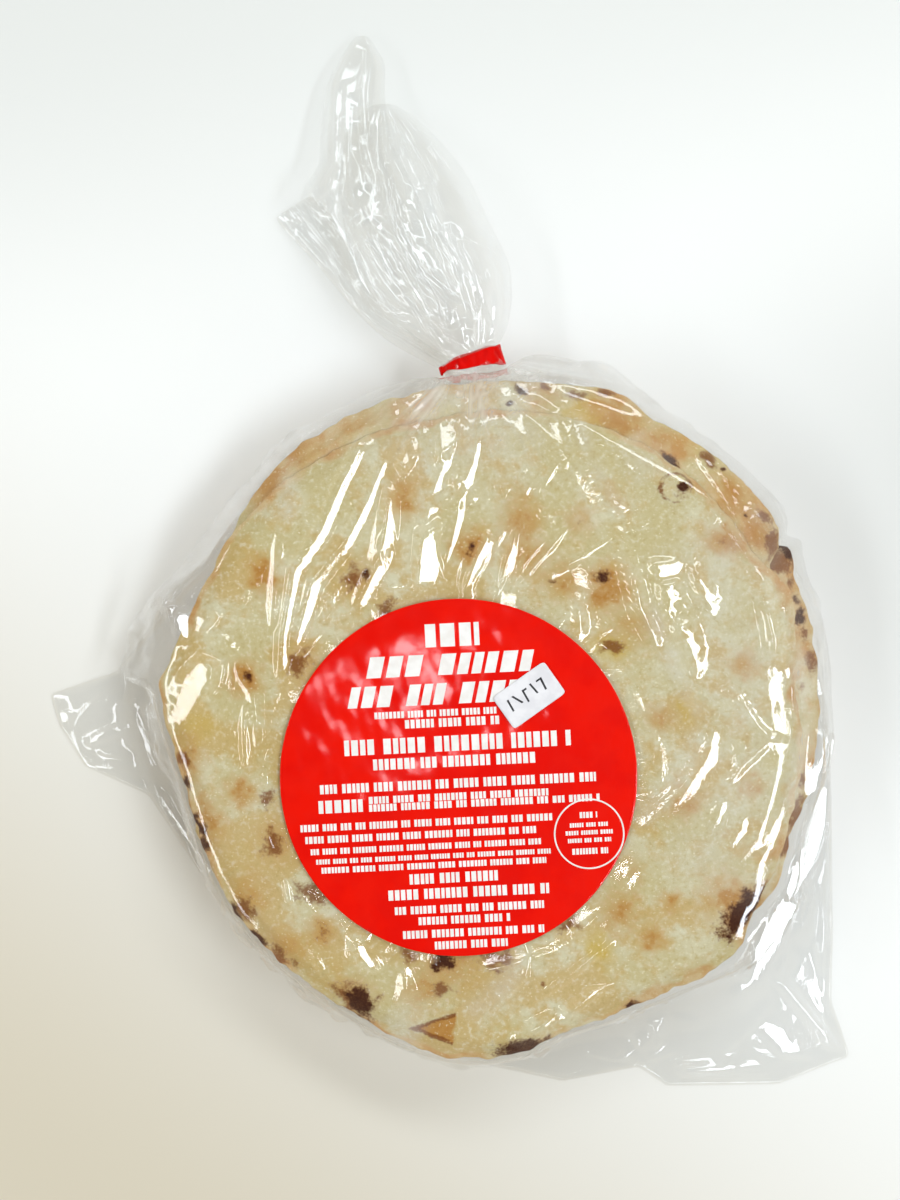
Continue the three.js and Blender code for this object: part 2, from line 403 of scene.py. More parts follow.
def towards(lamp):  # direction from the pack to a lamp: sin d cos a, sin d sin a, cos d
    around, down = (math.radians(angle) for angle in lamp["from"])
    return np.array([
        math.sin(down) * math.cos(around), math.sin(down) * math.sin(around), math.cos(down),
    ])


def makeLamps():  # flat lamps that face the pack
    for lamp in lamps:
        light = bpy.data.lights.new(lamp["name"], "AREA")
        light.shape = "RECTANGLE"
        light.size, light.size_y = (side * mm for side in lamp["size"])
        light.energy = lamp["power"]
        light.color = lamp["tint"]
        rig = bpy.data.objects.new(lamp["name"], light)
        rig.location = place(towards(lamp) * lamp["distance"])
        rig.rotation_mode = "QUATERNION"
        rig.rotation_quaternion = Vector(towards(lamp)).to_track_quat("Z", "X")
        rig.visible_camera = False
        bpy.context.scene.collection.objects.link(rig)


surroundings = {
    "reach": 6000,                       # of the table, each way
    "white": (250, 251, 250),
    "whiter": (254, 255, 254),
    "warm": (217, 208, 188),             # painted shade, warm, towards the near left
    "warmWay": (-0.6, -0.8, 0),
    "warmFrom": (0.01, 0.24),            # metres that way
    "cool": (233, 235, 233),             # painted shade, darker, towards the far side
    "coolWay": (-0.15, 0.98, 0),
    "coolFrom": (0.06, 0.2),
    "paintedShade": (229, 230, 228),             # painted shade: a little greyer at the right
    "paintedShadeMiddle": (0.17, 0.03, 0),
    "paintedShadeReach": (0.0, 0.13),
    "walls": (1.0, 0.92, 0.74, 1),
    "dimming": {"From Min": 0.45, "From Max": 0.9, "To Min": 0.68, "To Max": 0.07},
    "filmLayers": 24,                    # sheets of clear film that light may cross
}


def tableFinish():
    # painted shade on the table: warm tone by the distance in one direction, cool tone by another, grey by
    # the distance to a spot
    m = Finish("tableWhite")
    where = m.spot()
    grain = m.noise(where, 9, 3)
    tone = m.blend(linear(*surroundings["white"]), linear(*surroundings["whiter"]), grain)
    # painted shade: a darker warm tone towards the near left and a darker cool tone towards the far side
    for name in ("warm", "cool"):
        way = {0: where, 1: surroundings[name + "Way"]}
        away = m.node("VectorMath", {"operation": "DOT_PRODUCT"}, way, "Value")
        share = m.step(away, *surroundings[name + "From"])
        tone = m.blend(tone, linear(*surroundings[name]), share)
    # painted shade: greyer towards a spot at the right
    ends = {0: where, 1: surroundings["paintedShadeMiddle"]}
    apart = m.node("VectorMath", {"operation": "DISTANCE"}, ends, "Value")
    tone = m.blend(linear(*surroundings["paintedShade"]), tone, m.step(apart, *surroundings["paintedShadeReach"]))
    return m.surface(m.node("BsdfPrincipled", None, {"Base Color": tone, "Roughness": 0.7}))


def makeSurroundings():
    # a flat table in a room with pale walls and a dimmer ceiling: light by the height of its direction
    reach = surroundings["reach"]
    corners = [(-reach, -reach, 0), (reach, -reach, 0), (reach, reach, 0), (-reach, reach, 0)]
    table = meshPiece("table", corners, [(0, 1, 2, 3)], smooth=False)
    table.data.materials.append(tableFinish())
    room = Finish("room", "worlds", "OutputWorld")
    height = room.node("SeparateXYZ", None, {0: room.node("TexCoord", output="Generated")}, "Z")
    ends = {"Value": height, **surroundings["dimming"]}
    glow = room.node("MapRange", {"interpolation_type": "SMOOTHSTEP"}, ends)
    walls = room.node("Background", None, {"Color": surroundings["walls"], "Strength": glow})
    bpy.context.scene.world = room.surface(walls)
    bpy.context.scene.view_settings.view_transform = "Standard"
    bpy.context.scene.cycles.transparent_max_bounces = surroundings["filmLayers"]


makeCamera()
makeLamps()
makeSurroundings()
print("camera, lamps and table stand")


topOutline = [  # the top bread's edge: degrees, millimetres from its middle
    (0, 92.8), (8, 92), (16, 94.5), (24, 98), (32, 95), (45, 95.5), (57, 95.8), (68, 95), (78, 94),
    (86, 93.3), (98, 92.2), (110, 91.4), (125, 91.6), (133, 91.2), (140.5, 91.8), (151.5, 90),
    (164, 91), (171.7, 93.2), (180, 89.6), (190, 86), (204, 86), (218, 87), (231.6, 87.1),
    (246.5, 88.5), (255.5, 91.1), (265.6, 93.3), (276.4, 92.5), (286, 89.4), (299, 90.4),
    (306, 92.3), (318.6, 96.8), (327, 94), (336, 93.6), (348.5, 92.9),
]
secondOutline = [
    (0, 93), (15, 93.5), (26, 94.5), (30, 97), (31.5, 101.4), (34.5, 106), (42, 106), (49, 105.5),
    (60, 104.4), (69, 106.4), (79, 103.6), (87, 102.5), (96, 101), (114, 99.2), (128, 97.2),
    (141, 92.5), (155, 88), (180, 86), (210, 84), (240, 84), (270, 86), (300, 88), (330, 91),
]
thirdOutline = [
    (0, 99.8), (6, 100.3), (9, 100.9), (15, 101.7), (20, 102.2), (25, 102.9), (28.5, 104.4),
    (30.6, 105.8), (33, 101), (37, 97), (45, 95), (60, 92), (80, 90), (100, 89), (120, 88),
    (140, 86), (160, 85), (180, 84), (200, 83), (220, 85), (240, 88), (250, 89.5), (265, 92),
    (280, 91), (295, 90), (308, 91), (318.7, 94.8), (323.6, 96.6), (329, 97.4), (332.6, 98.7),
    (338, 97.6), (341.4, 97), (346.6, 97.6), (350.5, 98.5), (355.8, 98.8),
]
topRim = [  # width of the toasted edge of the top bread: degrees, millimetres
    (0, 2.5), (24, 4), (40, 3), (60, 2), (90, 2.5), (120, 3), (140, 2.5), (160, 2.5), (180, 2.5),
    (200, 2), (230, 2), (260, 3), (285, 3), (300, 4), (313, 7), (328, 10), (340, 6), (350, 3),
]

bread = {
    "count": 10,
    "thickness": 4.3,
    "edge": 1.5,              # thickness of the edge
    "edgeWidth": 7,           # the bread thins over this
    "clearance": 0.7,         # from the film down to the top bread
    "swell": 0.35,            # height of the slow waves in each bread
    "droop": (0.35, 40),      # waves of its edge: height, size
    "lowest": 0.3,            # underside of the bottom bread above the table
    "ragged": ((0.35, 9), (0.15, 3.4)),  # uneven outline: depth, size
    "crumb": ((0.06, 3.5), (0.10, 9)),   # relief of the crust: height, size
    "wideShare": 0.90,        # share of the way out that the wide rows take
    "edgeRows": 18,
    "underStep": 8,           # the underside has one ring for so many of the top's
    "topGrid": (560, 116),    # columns and wide rows of the top bread
    "lowerGrid": (420, 48),
    "driftOfLower": 3.0,      # how far the hidden breads lie off the third
    "lowerMiddle": (5, 1),
    "lowerRadius": (90, 93),
    "lowerRim": 9,            # width of their toasted edge
    "lowerMarks": (14, 94),   # marks of the oven on each: how many, how far from its middle
    "markRadius": (2, 5),
}

# marks of the oven on the top bread: x, y, radius, kind, strength, stretch, turn in degrees
topMarks = [
    (-36.4, 44.7, 3.2, "brown", 0.9, 1.6, 70), (-32.7, 46.1, 1.8, "char", 0.8, 1.8, 75),
    (-51.8, 20.2, 3.6, "brown", 1.0, 1.4, 60), (-27.3, 35.6, 3.5, "brown", 0.8, 1.6, 40),
    (-2.8, 53.2, 2.4, "char", 0.7, 1.0, 0), (-2.8, 53.2, 6.5, "toast", 0.9, 1.0, 0),
    (34.7, 44.7, 2.8, "char", 0.75, 1.2, 80), (36, 41.5, 8.5, "toast", 0.9, 1.0, 0),
    (20.5, 43.8, 1.6, "char", 0.6, 1.3, 0), (28.5, 60.6, 1.7, "char", 0.55, 1.0, 0),
    (28.5, 60.6, 5.5, "toast", 0.6, 1.0, 0), (37.3, 24.8, 2.8, "brown", 1.0, 1.6, 10),
    (37.3, 24.8, 4.5, "yellow", 0.9, 1.4, 0), (-66.3, 16.5, 2.0, "char", 0.75, 1.2, 60),
    (-67.0, 16.5, 5.5, "toast", 1.0, 1.0, 0), (-84.8, -7.7, 3.2, "brown", 0.95, 1.3, 90),
    (-84.5, -14.2, 2.2, "char", 0.9, 1.5, 80), (-60.9, -18.5, 3.0, "brown", 0.9, 1.4, 60),
    (-59.2, -31.0, 3.8, "brown", 1.0, 1.2, 80), (-47.5, -45.3, 4.2, "brown", 0.9, 1.8, -15),
    (-67.5, -49.8, 3.6, "brown", 0.95, 1.3, -60), (-57.5, -63.2, 3.2, "brown", 0.9, 1.4, -60),
    (-19.9, -62.6, 3.0, "brown", 0.8, 1.5, -20), (-10.8, -64.6, 4.0, "char", 0.9, 1.1, 0),
    (-10.5, -72.6, 3.0, "brown", 1.0, 1.5, 10), (4.8, -64.0, 4.0, "brown", 1.0, 1.5, 0),
    (25.6, -53.5, 3.6, "brown", 0.85, 1.6, 20), (18.2, -71.2, 1.2, "brown", 0.9, 1.0, 0),
    (-33.8, -77.0, 5.0, "char", 1.0, 1.4, -70), (-37.0, -76.0, 5.0, "brown", 1.0, 1.5, -40),
    (75.1, -50.9, 5.5, "char", 1.0, 2.2, 48), (71.0, -46.0, 5.5, "toast", 1.0, 1.0, 0),
    (43.8, -78.6, 2.6, "char", 0.8, 1.6, 15), (13.7, -90.4, 4.5, "char", 1.0, 2.6, 5),
    (-61.8, 45.3, 5.5, "toast", 1.0, 1.0, 0), (-21.9, 67.4, 5.5, "toast", 0.8, 1.4, 90),
    (11.4, 59.5, 7.0, "toast", 0.75, 1.5, 90), (70.9, 56.1, 6.0, "toast", 0.9, 1.2, 0),
    (68.9, 54.9, 1.5, "char", 0.5, 1.0, 0), (75.4, 20.2, 5.5, "toast", 0.65, 1.0, 0),
    (50.9, 4.6, 5.0, "toast", 0.7, 1.0, 0), (59.5, 7.4, 4.0, "yellow", 0.8, 1.0, 0),
    (58.3, -19.6, 5.0, "toast", 0.75, 1.2, 20), (77.4, -15.1, 4.0, "toast", 0.7, 1.0, 0),
    (39.8, -50.4, 6.0, "toast", 0.85, 1.2, 60), (54.4, -47.2, 3.5, "toast", 0.9, 1.0, 0),
    (49.2, -58.2, 4.2, "toast", 0.8, 1.0, 0), (42.1, -38.7, 5.0, "toast", 0.55, 1.3, 60),
    (33.9, -60.9, 4.5, "yellow", 1.0, 1.3, -50), (-68.6, -16.2, 5.0, "toast", 0.8, 1.2, 0),
    (-80.0, 2.6, 7.0, "yellow", 0.6, 1.2, 0), (-45.3, -56.1, 5.0, "toast", 0.7, 1.2, 0),
    (-15.9, -72.0, 6.0, "toast", 0.7, 1.3, 0), (43.6, 30.2, 8.0, "toast", 0.6, 1.1, 0),
    (-4.3, 26.0, 6.0, "toast", 0.5, 1.0, 0), (58.1, 69.4, 3.0, "brown", 0.7, 1.2, 0),
    (-80.8, -26.0, 2.6, "char", 0.9, 2.0, -65), (-78.6, -32.0, 2.0, "char", 0.9, 2.0, -70),
    (-70.0, -51.0, 1.8, "char", 0.9, 2.0, -60), (-63.8, -58.6, 1.9, "char", 0.95, 2.2, -48),
    (-53.3, -65.7, 1.8, "brown", 0.8, 1.3, -60), (-45.3, -56.1, 3.4, "brown", 0.5, 1.5, -20),
    (-78.0, -24.0, 6.0, "toast", 0.8, 1.6, -65), (-66.0, -46.0, 7.0, "toast", 0.7, 1.2, -60),
    (-55.0, -60.0, 6.0, "toast", 0.7, 1.2, -50), (-36.0, -74.0, 7.0, "toast", 0.6, 1.2, -40),
    (-57.0, -30.0, 7.0, "toast", 0.7, 1.2, 60), (-34.0, 44.0, 7.0, "toast", 0.6, 1.3, 70),
    (-50.0, 22.0, 7.0, "toast", 0.6, 1.3, 70), (24.0, 44.0, 7.0, "toast", 0.7, 1.4, 0),
    (13.0, 52.0, 7.5, "toast", 0.7, 1.2, 0), (-10.0, -66.0, 8.0, "toast", 0.7, 1.5, 0),
    (68.0, -46.0, 8.0, "toast", 0.6, 1.2, 50), (-84.0, -8.0, 6.0, "toast", 0.8, 1.5, 80),
]

kinds = ("toast", "yellow", "brown", "char")
markEdge = {"waves": ((0.9, 7), (0.5, 2.6)), "fullRadius": 4}  # depth, size; smaller marks waver less


def markFields(x, y, marks, seed):
    # each mark fades as exp(-(d / r)^2), with d measured in a stretched and wavy plane
    fields = {kind: np.zeros(np.shape(x)) for kind in kinds}
    shiftX = layeredWaves(x, y, markEdge["waves"], seed)
    shiftY = layeredWaves(x, y, markEdge["waves"], seed + 2)
    for markX, markY, radius, kind, strength, stretch, turn in marks:
        wavy = min(1, radius / markEdge["fullRadius"])
        along, across = turned(x - markX + shiftX * wavy, y - markY + shiftY * wavy, -turn)
        amount = strength * np.exp(-((along / stretch) ** 2 + across ** 2) / radius ** 2)
        fields[kind] = np.maximum(fields[kind], amount)
    return fields


secondMarks = [
    (12.2, 99.3, 2.0, "char", 1.0, 1.4, -50), (8.8, 95.1, 1.2, "char", 1.0, 1.5, 0),
    (31.3, 92.5, 6.0, "yellow", 1.0, 1.3, 20), (19.1, 100.5, 1.8, "brown", 1.0, 1.2, 0),
    (27.8, 97.8, 2.6, "brown", 0.9, 1.6, -20), (36.4, 98.3, 1.8, "brown", 1.0, 2.0, 0),
    (40, 90, 8, "toast", 0.9, 1.4, -30), (52, 83, 7, "toast", 0.8, 1.4, -40),
    (54.8, 78.9, 1.9, "char", 1.0, 2.2, -38), (66, 79.1, 2.6, "brown", 1.1, 1.5, -45),
    (70.9, 76.7, 1.0, "char", 0.9, 1.4, 0), (76.7, 62.5, 0.9, "char", 1.0, 1.0, 0),
    (82.7, 62.6, 1.8, "brown", 1.0, 2.2, -30), (84.5, 54.5, 2.6, "brown", 1.1, 2.2, 70),
    (75, 66, 8, "toast", 1.0, 1.6, -50), (80, 58, 7, "toast", 1.0, 1.4, -50),
    (-52, 82, 6, "toast", 0.9, 1.6, 35), (-62, 72, 6, "toast", 1.0, 1.6, 40),
    (-36, 90, 6, "toast", 0.7, 1.6, 20), (62, 84, 6, "yellow", 0.6, 1.4, -40),
]
thirdMarks = [
    (90.3, 53.2, 3.2, "char", 1.1, 1.3, -40), (87.0, 49.6, 4.2, "brown", 1.2, 1.3, -40),
    (91.5, 43.5, 1.6, "brown", 0.9, 1.4, 60), (92.2, 38.6, 2.0, "char", 0.8, 1.3, 70),
    (94.0, 33.6, 2.4, "char", 1.0, 1.5, 70), (94.6, 28.5, 2.0, "brown", 0.9, 1.4, 70),
    (97.6, 20.4, 3.0, "brown", 0.9, 1.8, 75), (94.0, 26.6, 0.8, "char", 0.9, 1.0, 0),
    (94.2, 13.4, 1.8, "brown", 0.7, 1.6, 80), (97.6, 19.0, 2.0, "brown", 1.0, 1.2, 80),
    (94.6, -14.0, 2.4, "brown", 0.9, 1.2, 80), (92.6, -24.4, 3.2, "brown", 1.1, 2.4, 68),
    (90.0, -33.4, 2.6, "brown", 1.0, 1.8, 60), (80, -52, 4, "toast", 1.0, 1.5, 50),
]
blister = {
    "middle": (56.0, 70.4),
    "squash": 1.1,
    "radius": 4.6,
    "line": 0.8,            # width of its scorched ring
    "ring": 1.15,           # strength of the ring
    "wall": (0.5, 1.2),     # height and width of its wall
    "hole": (58.1, 70.8),
    "holeSize": (2.0, 1.7),
    "holeStrength": 1.2,
}
brokenCorner = {
    "corners": [(-18.8, -83.9), (-7.5, -88.3), (-6.9, -79.6)],
    "outerEdge": 1,         # the bread's own edge has no dark border
    "wander": (0.4, 4),     # waves of its edges: depth, size
    "soft": 0.4,
    "border": 0.8,
    "depth": 0.5,
}


def insideOf(x, y, corners):
    # how far inside a counter-clockwise outline with straight edges, and which edge is nearest
    points = np.asarray(corners, float)
    depths = []
    for (ax, ay), (bx, by) in zip(points, np.roll(points, -1, 0)):
        length = math.hypot(bx - ax, by - ay)
        depths.append(((bx - ax) * (y - ay) - (by - ay) * (x - ax)) / length)
    depths = np.array(depths)
    return depths.min(0), depths.argmin(0)


def topDetails(x, y, fields):
    # a burst blister with a scorched ring, and a broken corner with its toasted crumb
    away = np.hypot(x - blister["middle"][0], (y - blister["middle"][1]) * blister["squash"])
    away = away - blister["radius"]
    ring = blister["ring"] * np.exp(-(away / blister["line"]) ** 2)
    ring = ring * np.clip(0.75 + 0.4 * waves(x, y, 5, 77), 0, 1)
    fields["brown"] = np.maximum(fields["brown"], ring)
    holeX = (x - blister["hole"][0]) / blister["holeSize"][0]
    holeY = (y - blister["hole"][1]) / blister["holeSize"][1]
    hole = blister["holeStrength"] * np.exp(-(holeX ** 2 + holeY ** 2))
    fields["char"] = np.maximum(fields["char"], hole)
    wander, size = brokenCorner["wander"]
    depth, edge = insideOf(x + wander * waves(x, y, size, 78), y, brokenCorner["corners"])
    within = softStep(depth, -brokenCorner["soft"], brokenCorner["soft"])
    fields["toast"] = np.maximum(fields["toast"], within * 1.1)
    border = np.exp(-(depth / brokenCorner["border"]) ** 2) * (edge != brokenCorner["outerEdge"])
    fields["brown"] = np.maximum(fields["brown"], border)
    height, wide = blister["wall"]
    return height * np.exp(-(away / wide) ** 2) - brokenCorner["depth"] * within


def makeBread(number, edge, marks, rimWidth, toasted):
    # a flat round: level underside, and over it the thickness t, which falls to the edge's over
    # the toasted rim and closes there as sqrt(1 - s^60), s being the share of the way out
    seed = 100 * number
    columns, rows = bread["topGrid"] if number == 1 else bread["lowerGrid"]
    turn = np.linspace(0, fullTurn, columns, endpoint=False)
    roundX = 90 * np.cos(turn)
    roundY = 90 * np.sin(turn)
    reach = np.interp(turn, topAngles, edge, period=fullTurn)
    reach = reach + layeredWaves(roundX, roundY, bread["ragged"], seed + 4)
    inner = np.linspace(0, bread["wideShare"], rows + 1)[1:]
    left = 1 - np.linspace(0, 1, bread["edgeRows"] + 1)[1:]
    shares = np.concatenate([inner, 1 - (1 - bread["wideShare"]) * left ** 1.6])
    x = shares[:, None] * reach * np.cos(turn)
    y = shares[:, None] * reach * np.sin(turn)
    share = np.broadcast_to(shares[:, None], x.shape)
    pitch = (stackTop - bread["clearance"]) / bread["count"]
    base = stackTop - bread["clearance"] - (number - 1) * pitch - bread["thickness"]
    level = base + bread["swell"] * waves(x, y, 60, 7) * base / stackTop
    droop, size = bread["droop"]
    level = level + droop * waves(roundX, roundY, size, seed + 6) * share ** 10
    level = np.maximum(level, bread["lowest"])
    fromEdge = (1 - share) * reach
    thin = 1 - softStep(fromEdge, 0, bread["edgeWidth"])
    thick = bread["thickness"] - (bread["thickness"] - bread["edge"]) * thin
    thick = thick * np.sqrt(np.clip(1 - share ** 60, 0, 1))
    crumb = layeredWaves(x, y, bread["crumb"], seed + 8) * (1 - share ** 30)
    fields = markFields(x, y, marks, seed + 20)
    if number == 1:
        crumb = crumb + topDetails(x, y, fields)
    top = np.stack([x, y, level + thick + crumb], -1)
    below = np.arange(len(shares) - 2, rows, -1)
    below = np.concatenate([below, np.arange(rows, -1, -bread["underStep"])])
    under = np.stack([x, y, level], -1)[below]
    broad = np.interp(turn, topAngles, rimWidth, period=fullTurn)
    broad = broad * (1 + 0.35 * waves(x, y, 14, seed + 12))
    rim = (1 - softStep(fromEdge / np.maximum(broad, 0.8), 0.35, 1.15)) * toasted
    fields["rim"] = np.clip(rim * (0.8 + 0.45 * waves(x, y, 20, seed + 13)), 0, 1)
    fields["golden"] = softStep(waves(x, y, 34, seed + 14) - 0.006 * (x + y), -0.2, 1.4)
    rings = np.concatenate([top, under])[::-1]
    both = {key: np.concatenate([value, value[below]])[::-1] for key, value in fields.items()}
    lowest = [0, 0, float(under[-1, :, 2].mean())]
    highest = [0, 0, float(top[0, :, 2].mean())]
    return loft(f"bread_{number:02d}", rings, lowest, highest, both)


breadColours = {  # on a screen, 0 to 255
    "dough": (206, 193, 146), "paleDough": (219, 213, 183), "goldenDough": (203, 171, 104),
    "paleMottle": (236, 232, 210), "darkMottle": (188, 164, 104),
    "yellow": (206, 172, 58), "toast": (197, 150, 80), "darkToast": (180, 122, 54),
    "rim": (214, 186, 140), "darkRim": (200, 148, 88), "flour": (244, 238, 208),
    "brown": (126, 68, 26), "char": (64, 26, 10),
}


def breadMaterial():
    # dough mottled by noise, under toast, yellow, rim, flour, brown and char in that order, each by
    # its own field of the mesh made ragged by the same noise
    m = Finish("bakedBread")
    tint = {name: linear(*colour) for name, colour in breadColours.items()}
    where = m.spot()
    cloud = m.noise(where, 45, 3)
    patch = m.noise(where, 160, 4, 0.6)
    mottle = m.noise(where, 620, 4, 0.62)
    grain = m.noise(where, 2400, 2)
    flour = m.noise(where, 1300, 2, 0.6)
    dough = m.blend(tint["dough"], tint["paleDough"], m.step(cloud, 0.38, 0.62))
    golden = m.step(cloud * 0.5 + patch * 0.5 + m.field("golden") * 0.14, 0.47, 0.62)
    dough = m.blend(dough, tint["goldenDough"], golden * 0.75)
    dough = m.blend(dough, tint["paleMottle"], m.step(mottle, 0.5, 0.72) * 0.5)
    dough = m.blend(dough, tint["darkMottle"], m.step(mottle, 0.46, 0.3) * 0.5)
    ragged = (mottle - 0.5) * 0.8 + (patch - 0.5) * 0.5
    speck = (flour - 0.5) * 1.6
    toast = m.step(m.field("toast") + ragged * 0.45, 0.05, 1.0)
    yellow = m.step(m.field("yellow") + ragged * 0.35, 0.05, 1.0)
    rim = m.step(m.field("rim") + ragged * 0.7 + (cloud - 0.5) * 0.8, 0.1, 1.1)
    scorch = m.maths("MAXIMUM", m.field("brown"), m.field("char") * 1.1)
    brown = m.step(scorch + ragged * 0.8 + speck * 0.5, 0.35, 0.9)
    char = m.step(m.field("char") + ragged * 0.55 + speck * 0.25, 0.45, 0.8)
    tone = m.blend(dough, tint["yellow"], yellow * 0.7)
    tone = m.blend(tone, tint["toast"], m.clamped(toast * (0.7 + mottle * 0.5)))
    tone = m.blend(tone, tint["darkToast"], m.step(toast + ragged * 0.6, 0.65, 1.2) * 0.75)
    crust = m.blend(tint["rim"], tint["darkRim"], m.step(patch, 0.35, 0.65))
    tone = m.blend(tone, crust, rim * 0.85)
    tone = m.blend(tone, tint["flour"], m.step(flour, 0.62, 0.72) * 0.6)
    tone = m.blend(tone, tint["brown"], brown * 0.85)
    tone = m.blend(tone, tint["char"], m.clamped(char * (0.92 + speck * 0.3)))
    height = mottle * 0.6 + grain * 0.4
    shader = m.node("BsdfPrincipled", None, {
        "Base Color": tone,
        "Roughness": 0.62 + (grain - 0.5) * 0.2,
        "Normal": m.bump(height, 0.0006, 0.5),
        "Specular IOR Level": 0.06,
    })
    return m.surface(shader)


breadFinish = breadMaterial()
topAngles, topEdge = closedCurve(topOutline)
secondEdge = closedCurve(secondOutline)[1]
thirdEdge = closedCurve(thirdOutline)[1]
evenRim = np.ones(topAngles.shape)
seenBreads = [  # edge, marks, width of the toasted rim, how toasted
    (topEdge, topMarks, closedCurve(topRim)[1], 0.9),
    (secondEdge, secondMarks, 17 * evenRim, 0.62),
    (thirdEdge, thirdMarks, 22 * evenRim, 0.8),
]


def hiddenBread(number):  # a circle that lies a little off, with marks at random along its edge
    draw = np.random.default_rng(40 + number)
    drift = draw.uniform(-1, 1, 2) * bread["driftOfLower"]
    middle = bread["lowerMiddle"] + drift
    circle = {"x": middle[0], "y": middle[1], "radius": draw.uniform(*bread["lowerRadius"])}
    count, away = bread["lowerMarks"]
    marks = []
    for angle in draw.uniform(0, fullTurn, count):
        radius = draw.uniform(*bread["markRadius"])
        kind = str(draw.choice(["toast", "brown", "char"]))
        turn = math.degrees(angle) + 90
        marks.append((away * math.cos(angle), away * math.sin(angle), radius, kind, 0.9, 1.4, turn))
    return reachOfCircle(circle, topAngles), marks, bread["lowerRim"] * evenRim, 1.0


for number in range(1, bread["count"] + 1):
    looks = seenBreads[number - 1] if number <= len(seenBreads) else hiddenBread(number)
    finished(makeBread(number, *looks), breadFinish, "bag")


filmLooks = {
    "mirror": 0.055,          # share of light mirrored head on, by both faces of the thin sheet
    "mirrorAtEdge": 0.9,
    "mirrorPower": 4.5,
    "roughness": 0.025,
    "clear": (0.975, 0.975, 0.972, 1),
    "milk": (240, 239, 234),  # screen colour where the film is milky
}


def filmMaterial():
    # mirrored share: m + e f^p, f being 0 head on and 1 at a grazing angle; milkier film mirrors less
    m = Finish("clearFilm")
    where = m.spot()
    drift = m.noise(where, 60, 2)
    crinkle = m.noise(where, 420, 3, 0.6)
    folded = m.maths("ABSOLUTE", crinkle - 0.5, 0) * 2
    height = folded * 0.2 + drift * 0.3
    normal = m.bump(height, 0.0008, 0.2)
    facing = m.node("LayerWeight", None, {"Blend": 0.5, "Normal": normal}, "Facing")
    mirror = filmLooks["mirror"] + facing ** filmLooks["mirrorPower"] * filmLooks["mirrorAtEdge"]
    mirror = mirror * (1 - m.field("veil") * 0.8)
    gloss = m.node("BsdfGlossy", None, {
        "Color": (1, 1, 1, 1),
        "Roughness": filmLooks["roughness"],
        "Normal": normal,
    })
    clear = m.node("BsdfTransparent", None, {"Color": filmLooks["clear"]})
    cloudy = m.node("BsdfDiffuse", None, {"Color": (*linear(*filmLooks["milk"]), 1)})
    milk = 0.002 + drift * 0.008 + m.field("veil") * (0.45 + drift * 0.9)
    hazy = m.node("MixShader", None, {0: m.clamped(milk), 1: clear, 2: cloudy})
    return m.surface(m.node("MixShader", None, {0: m.clamped(mirror), 1: hazy, 2: gloss}))


filmFinish = filmMaterial()

# outlines seen from above, in chains of corners about the stack's middle
tautSide = [
    (-26, 98), (-56, 82.5), (-72, 72), (-95.5, 41), (-102, 33), (-109, 16), (-60, 0), (0, 60),
]
leftWing = [(-90, 45), (-114, 16), (-135, 9), (-132, -1), (-124, -14), (-104, -23), (-86, -50)]
cornerFlap = [
    (-47, -88.5), (-18, -103.4), (1, -108), (27, -113.5), (51, -109), (60, -115), (95, -114.5),
    (118, -105.5), (112, -88), (112.5, -71), (112, -24), (111, 3), (104, 30),
]
neck = np.array([-3.0, 108.0])
neckWidth = 18

film = {
    "columns": 760,
    "lift": 0.15,          # bottom film above the table
    "top": 46.1,           # film under the label
    "slack": 4.5,          # from the widest bread out to the film
    "girthHeight": 24,     # where the film stands out most
    "tuck": 2.0,           # how far in its foot lies from there
    "pleat": 0.8,          # depth of the upright waves round it
    # pulled out or in: direction and width in degrees, depth, power of the bell
    "shoulder": (78, 9, 5, 2),                     # a full fold beside the neck
    "corners": [(158, 6, 6, 2), (-34, 10, 6, 2)],  # at full height
    "notch": (91.6, 7, 5, 4),                      # where the tape holds it in
    "labelRoom": 3,        # flat film round the label
    "calmRing": (-1, 5),   # how far past the label's edge folds and creases fade in
    "looseRing": (0, 8),   # the same for creases alone
    "veilRing": (0, 4),    # and for milky film
    "neckPleats": 26,
    "fan": (2.6, 8, 75),   # creases that fan out from the neck: depth, size, reach
    "neckVeil": (0.2, 1.3, 27),  # milky film there: everywhere, in the pleats besides, reach
    # facets: depth, size of the wide ones, size of the narrow ones
    "crumple": (0.28, 15, 7),  # all over
    "sides": (2.2, 8, 5),      # on the flanks
    "flap": (0.45, 19, 9),     # where the film lies on the table
    "flapSlope": 0.085,    # fall of the film that lies on the table
    "margin": 0.15,        # everything stands out at least this much
    "swell": (0.3, 5, 3),  # low swell round the label: height, distance from it, width
}

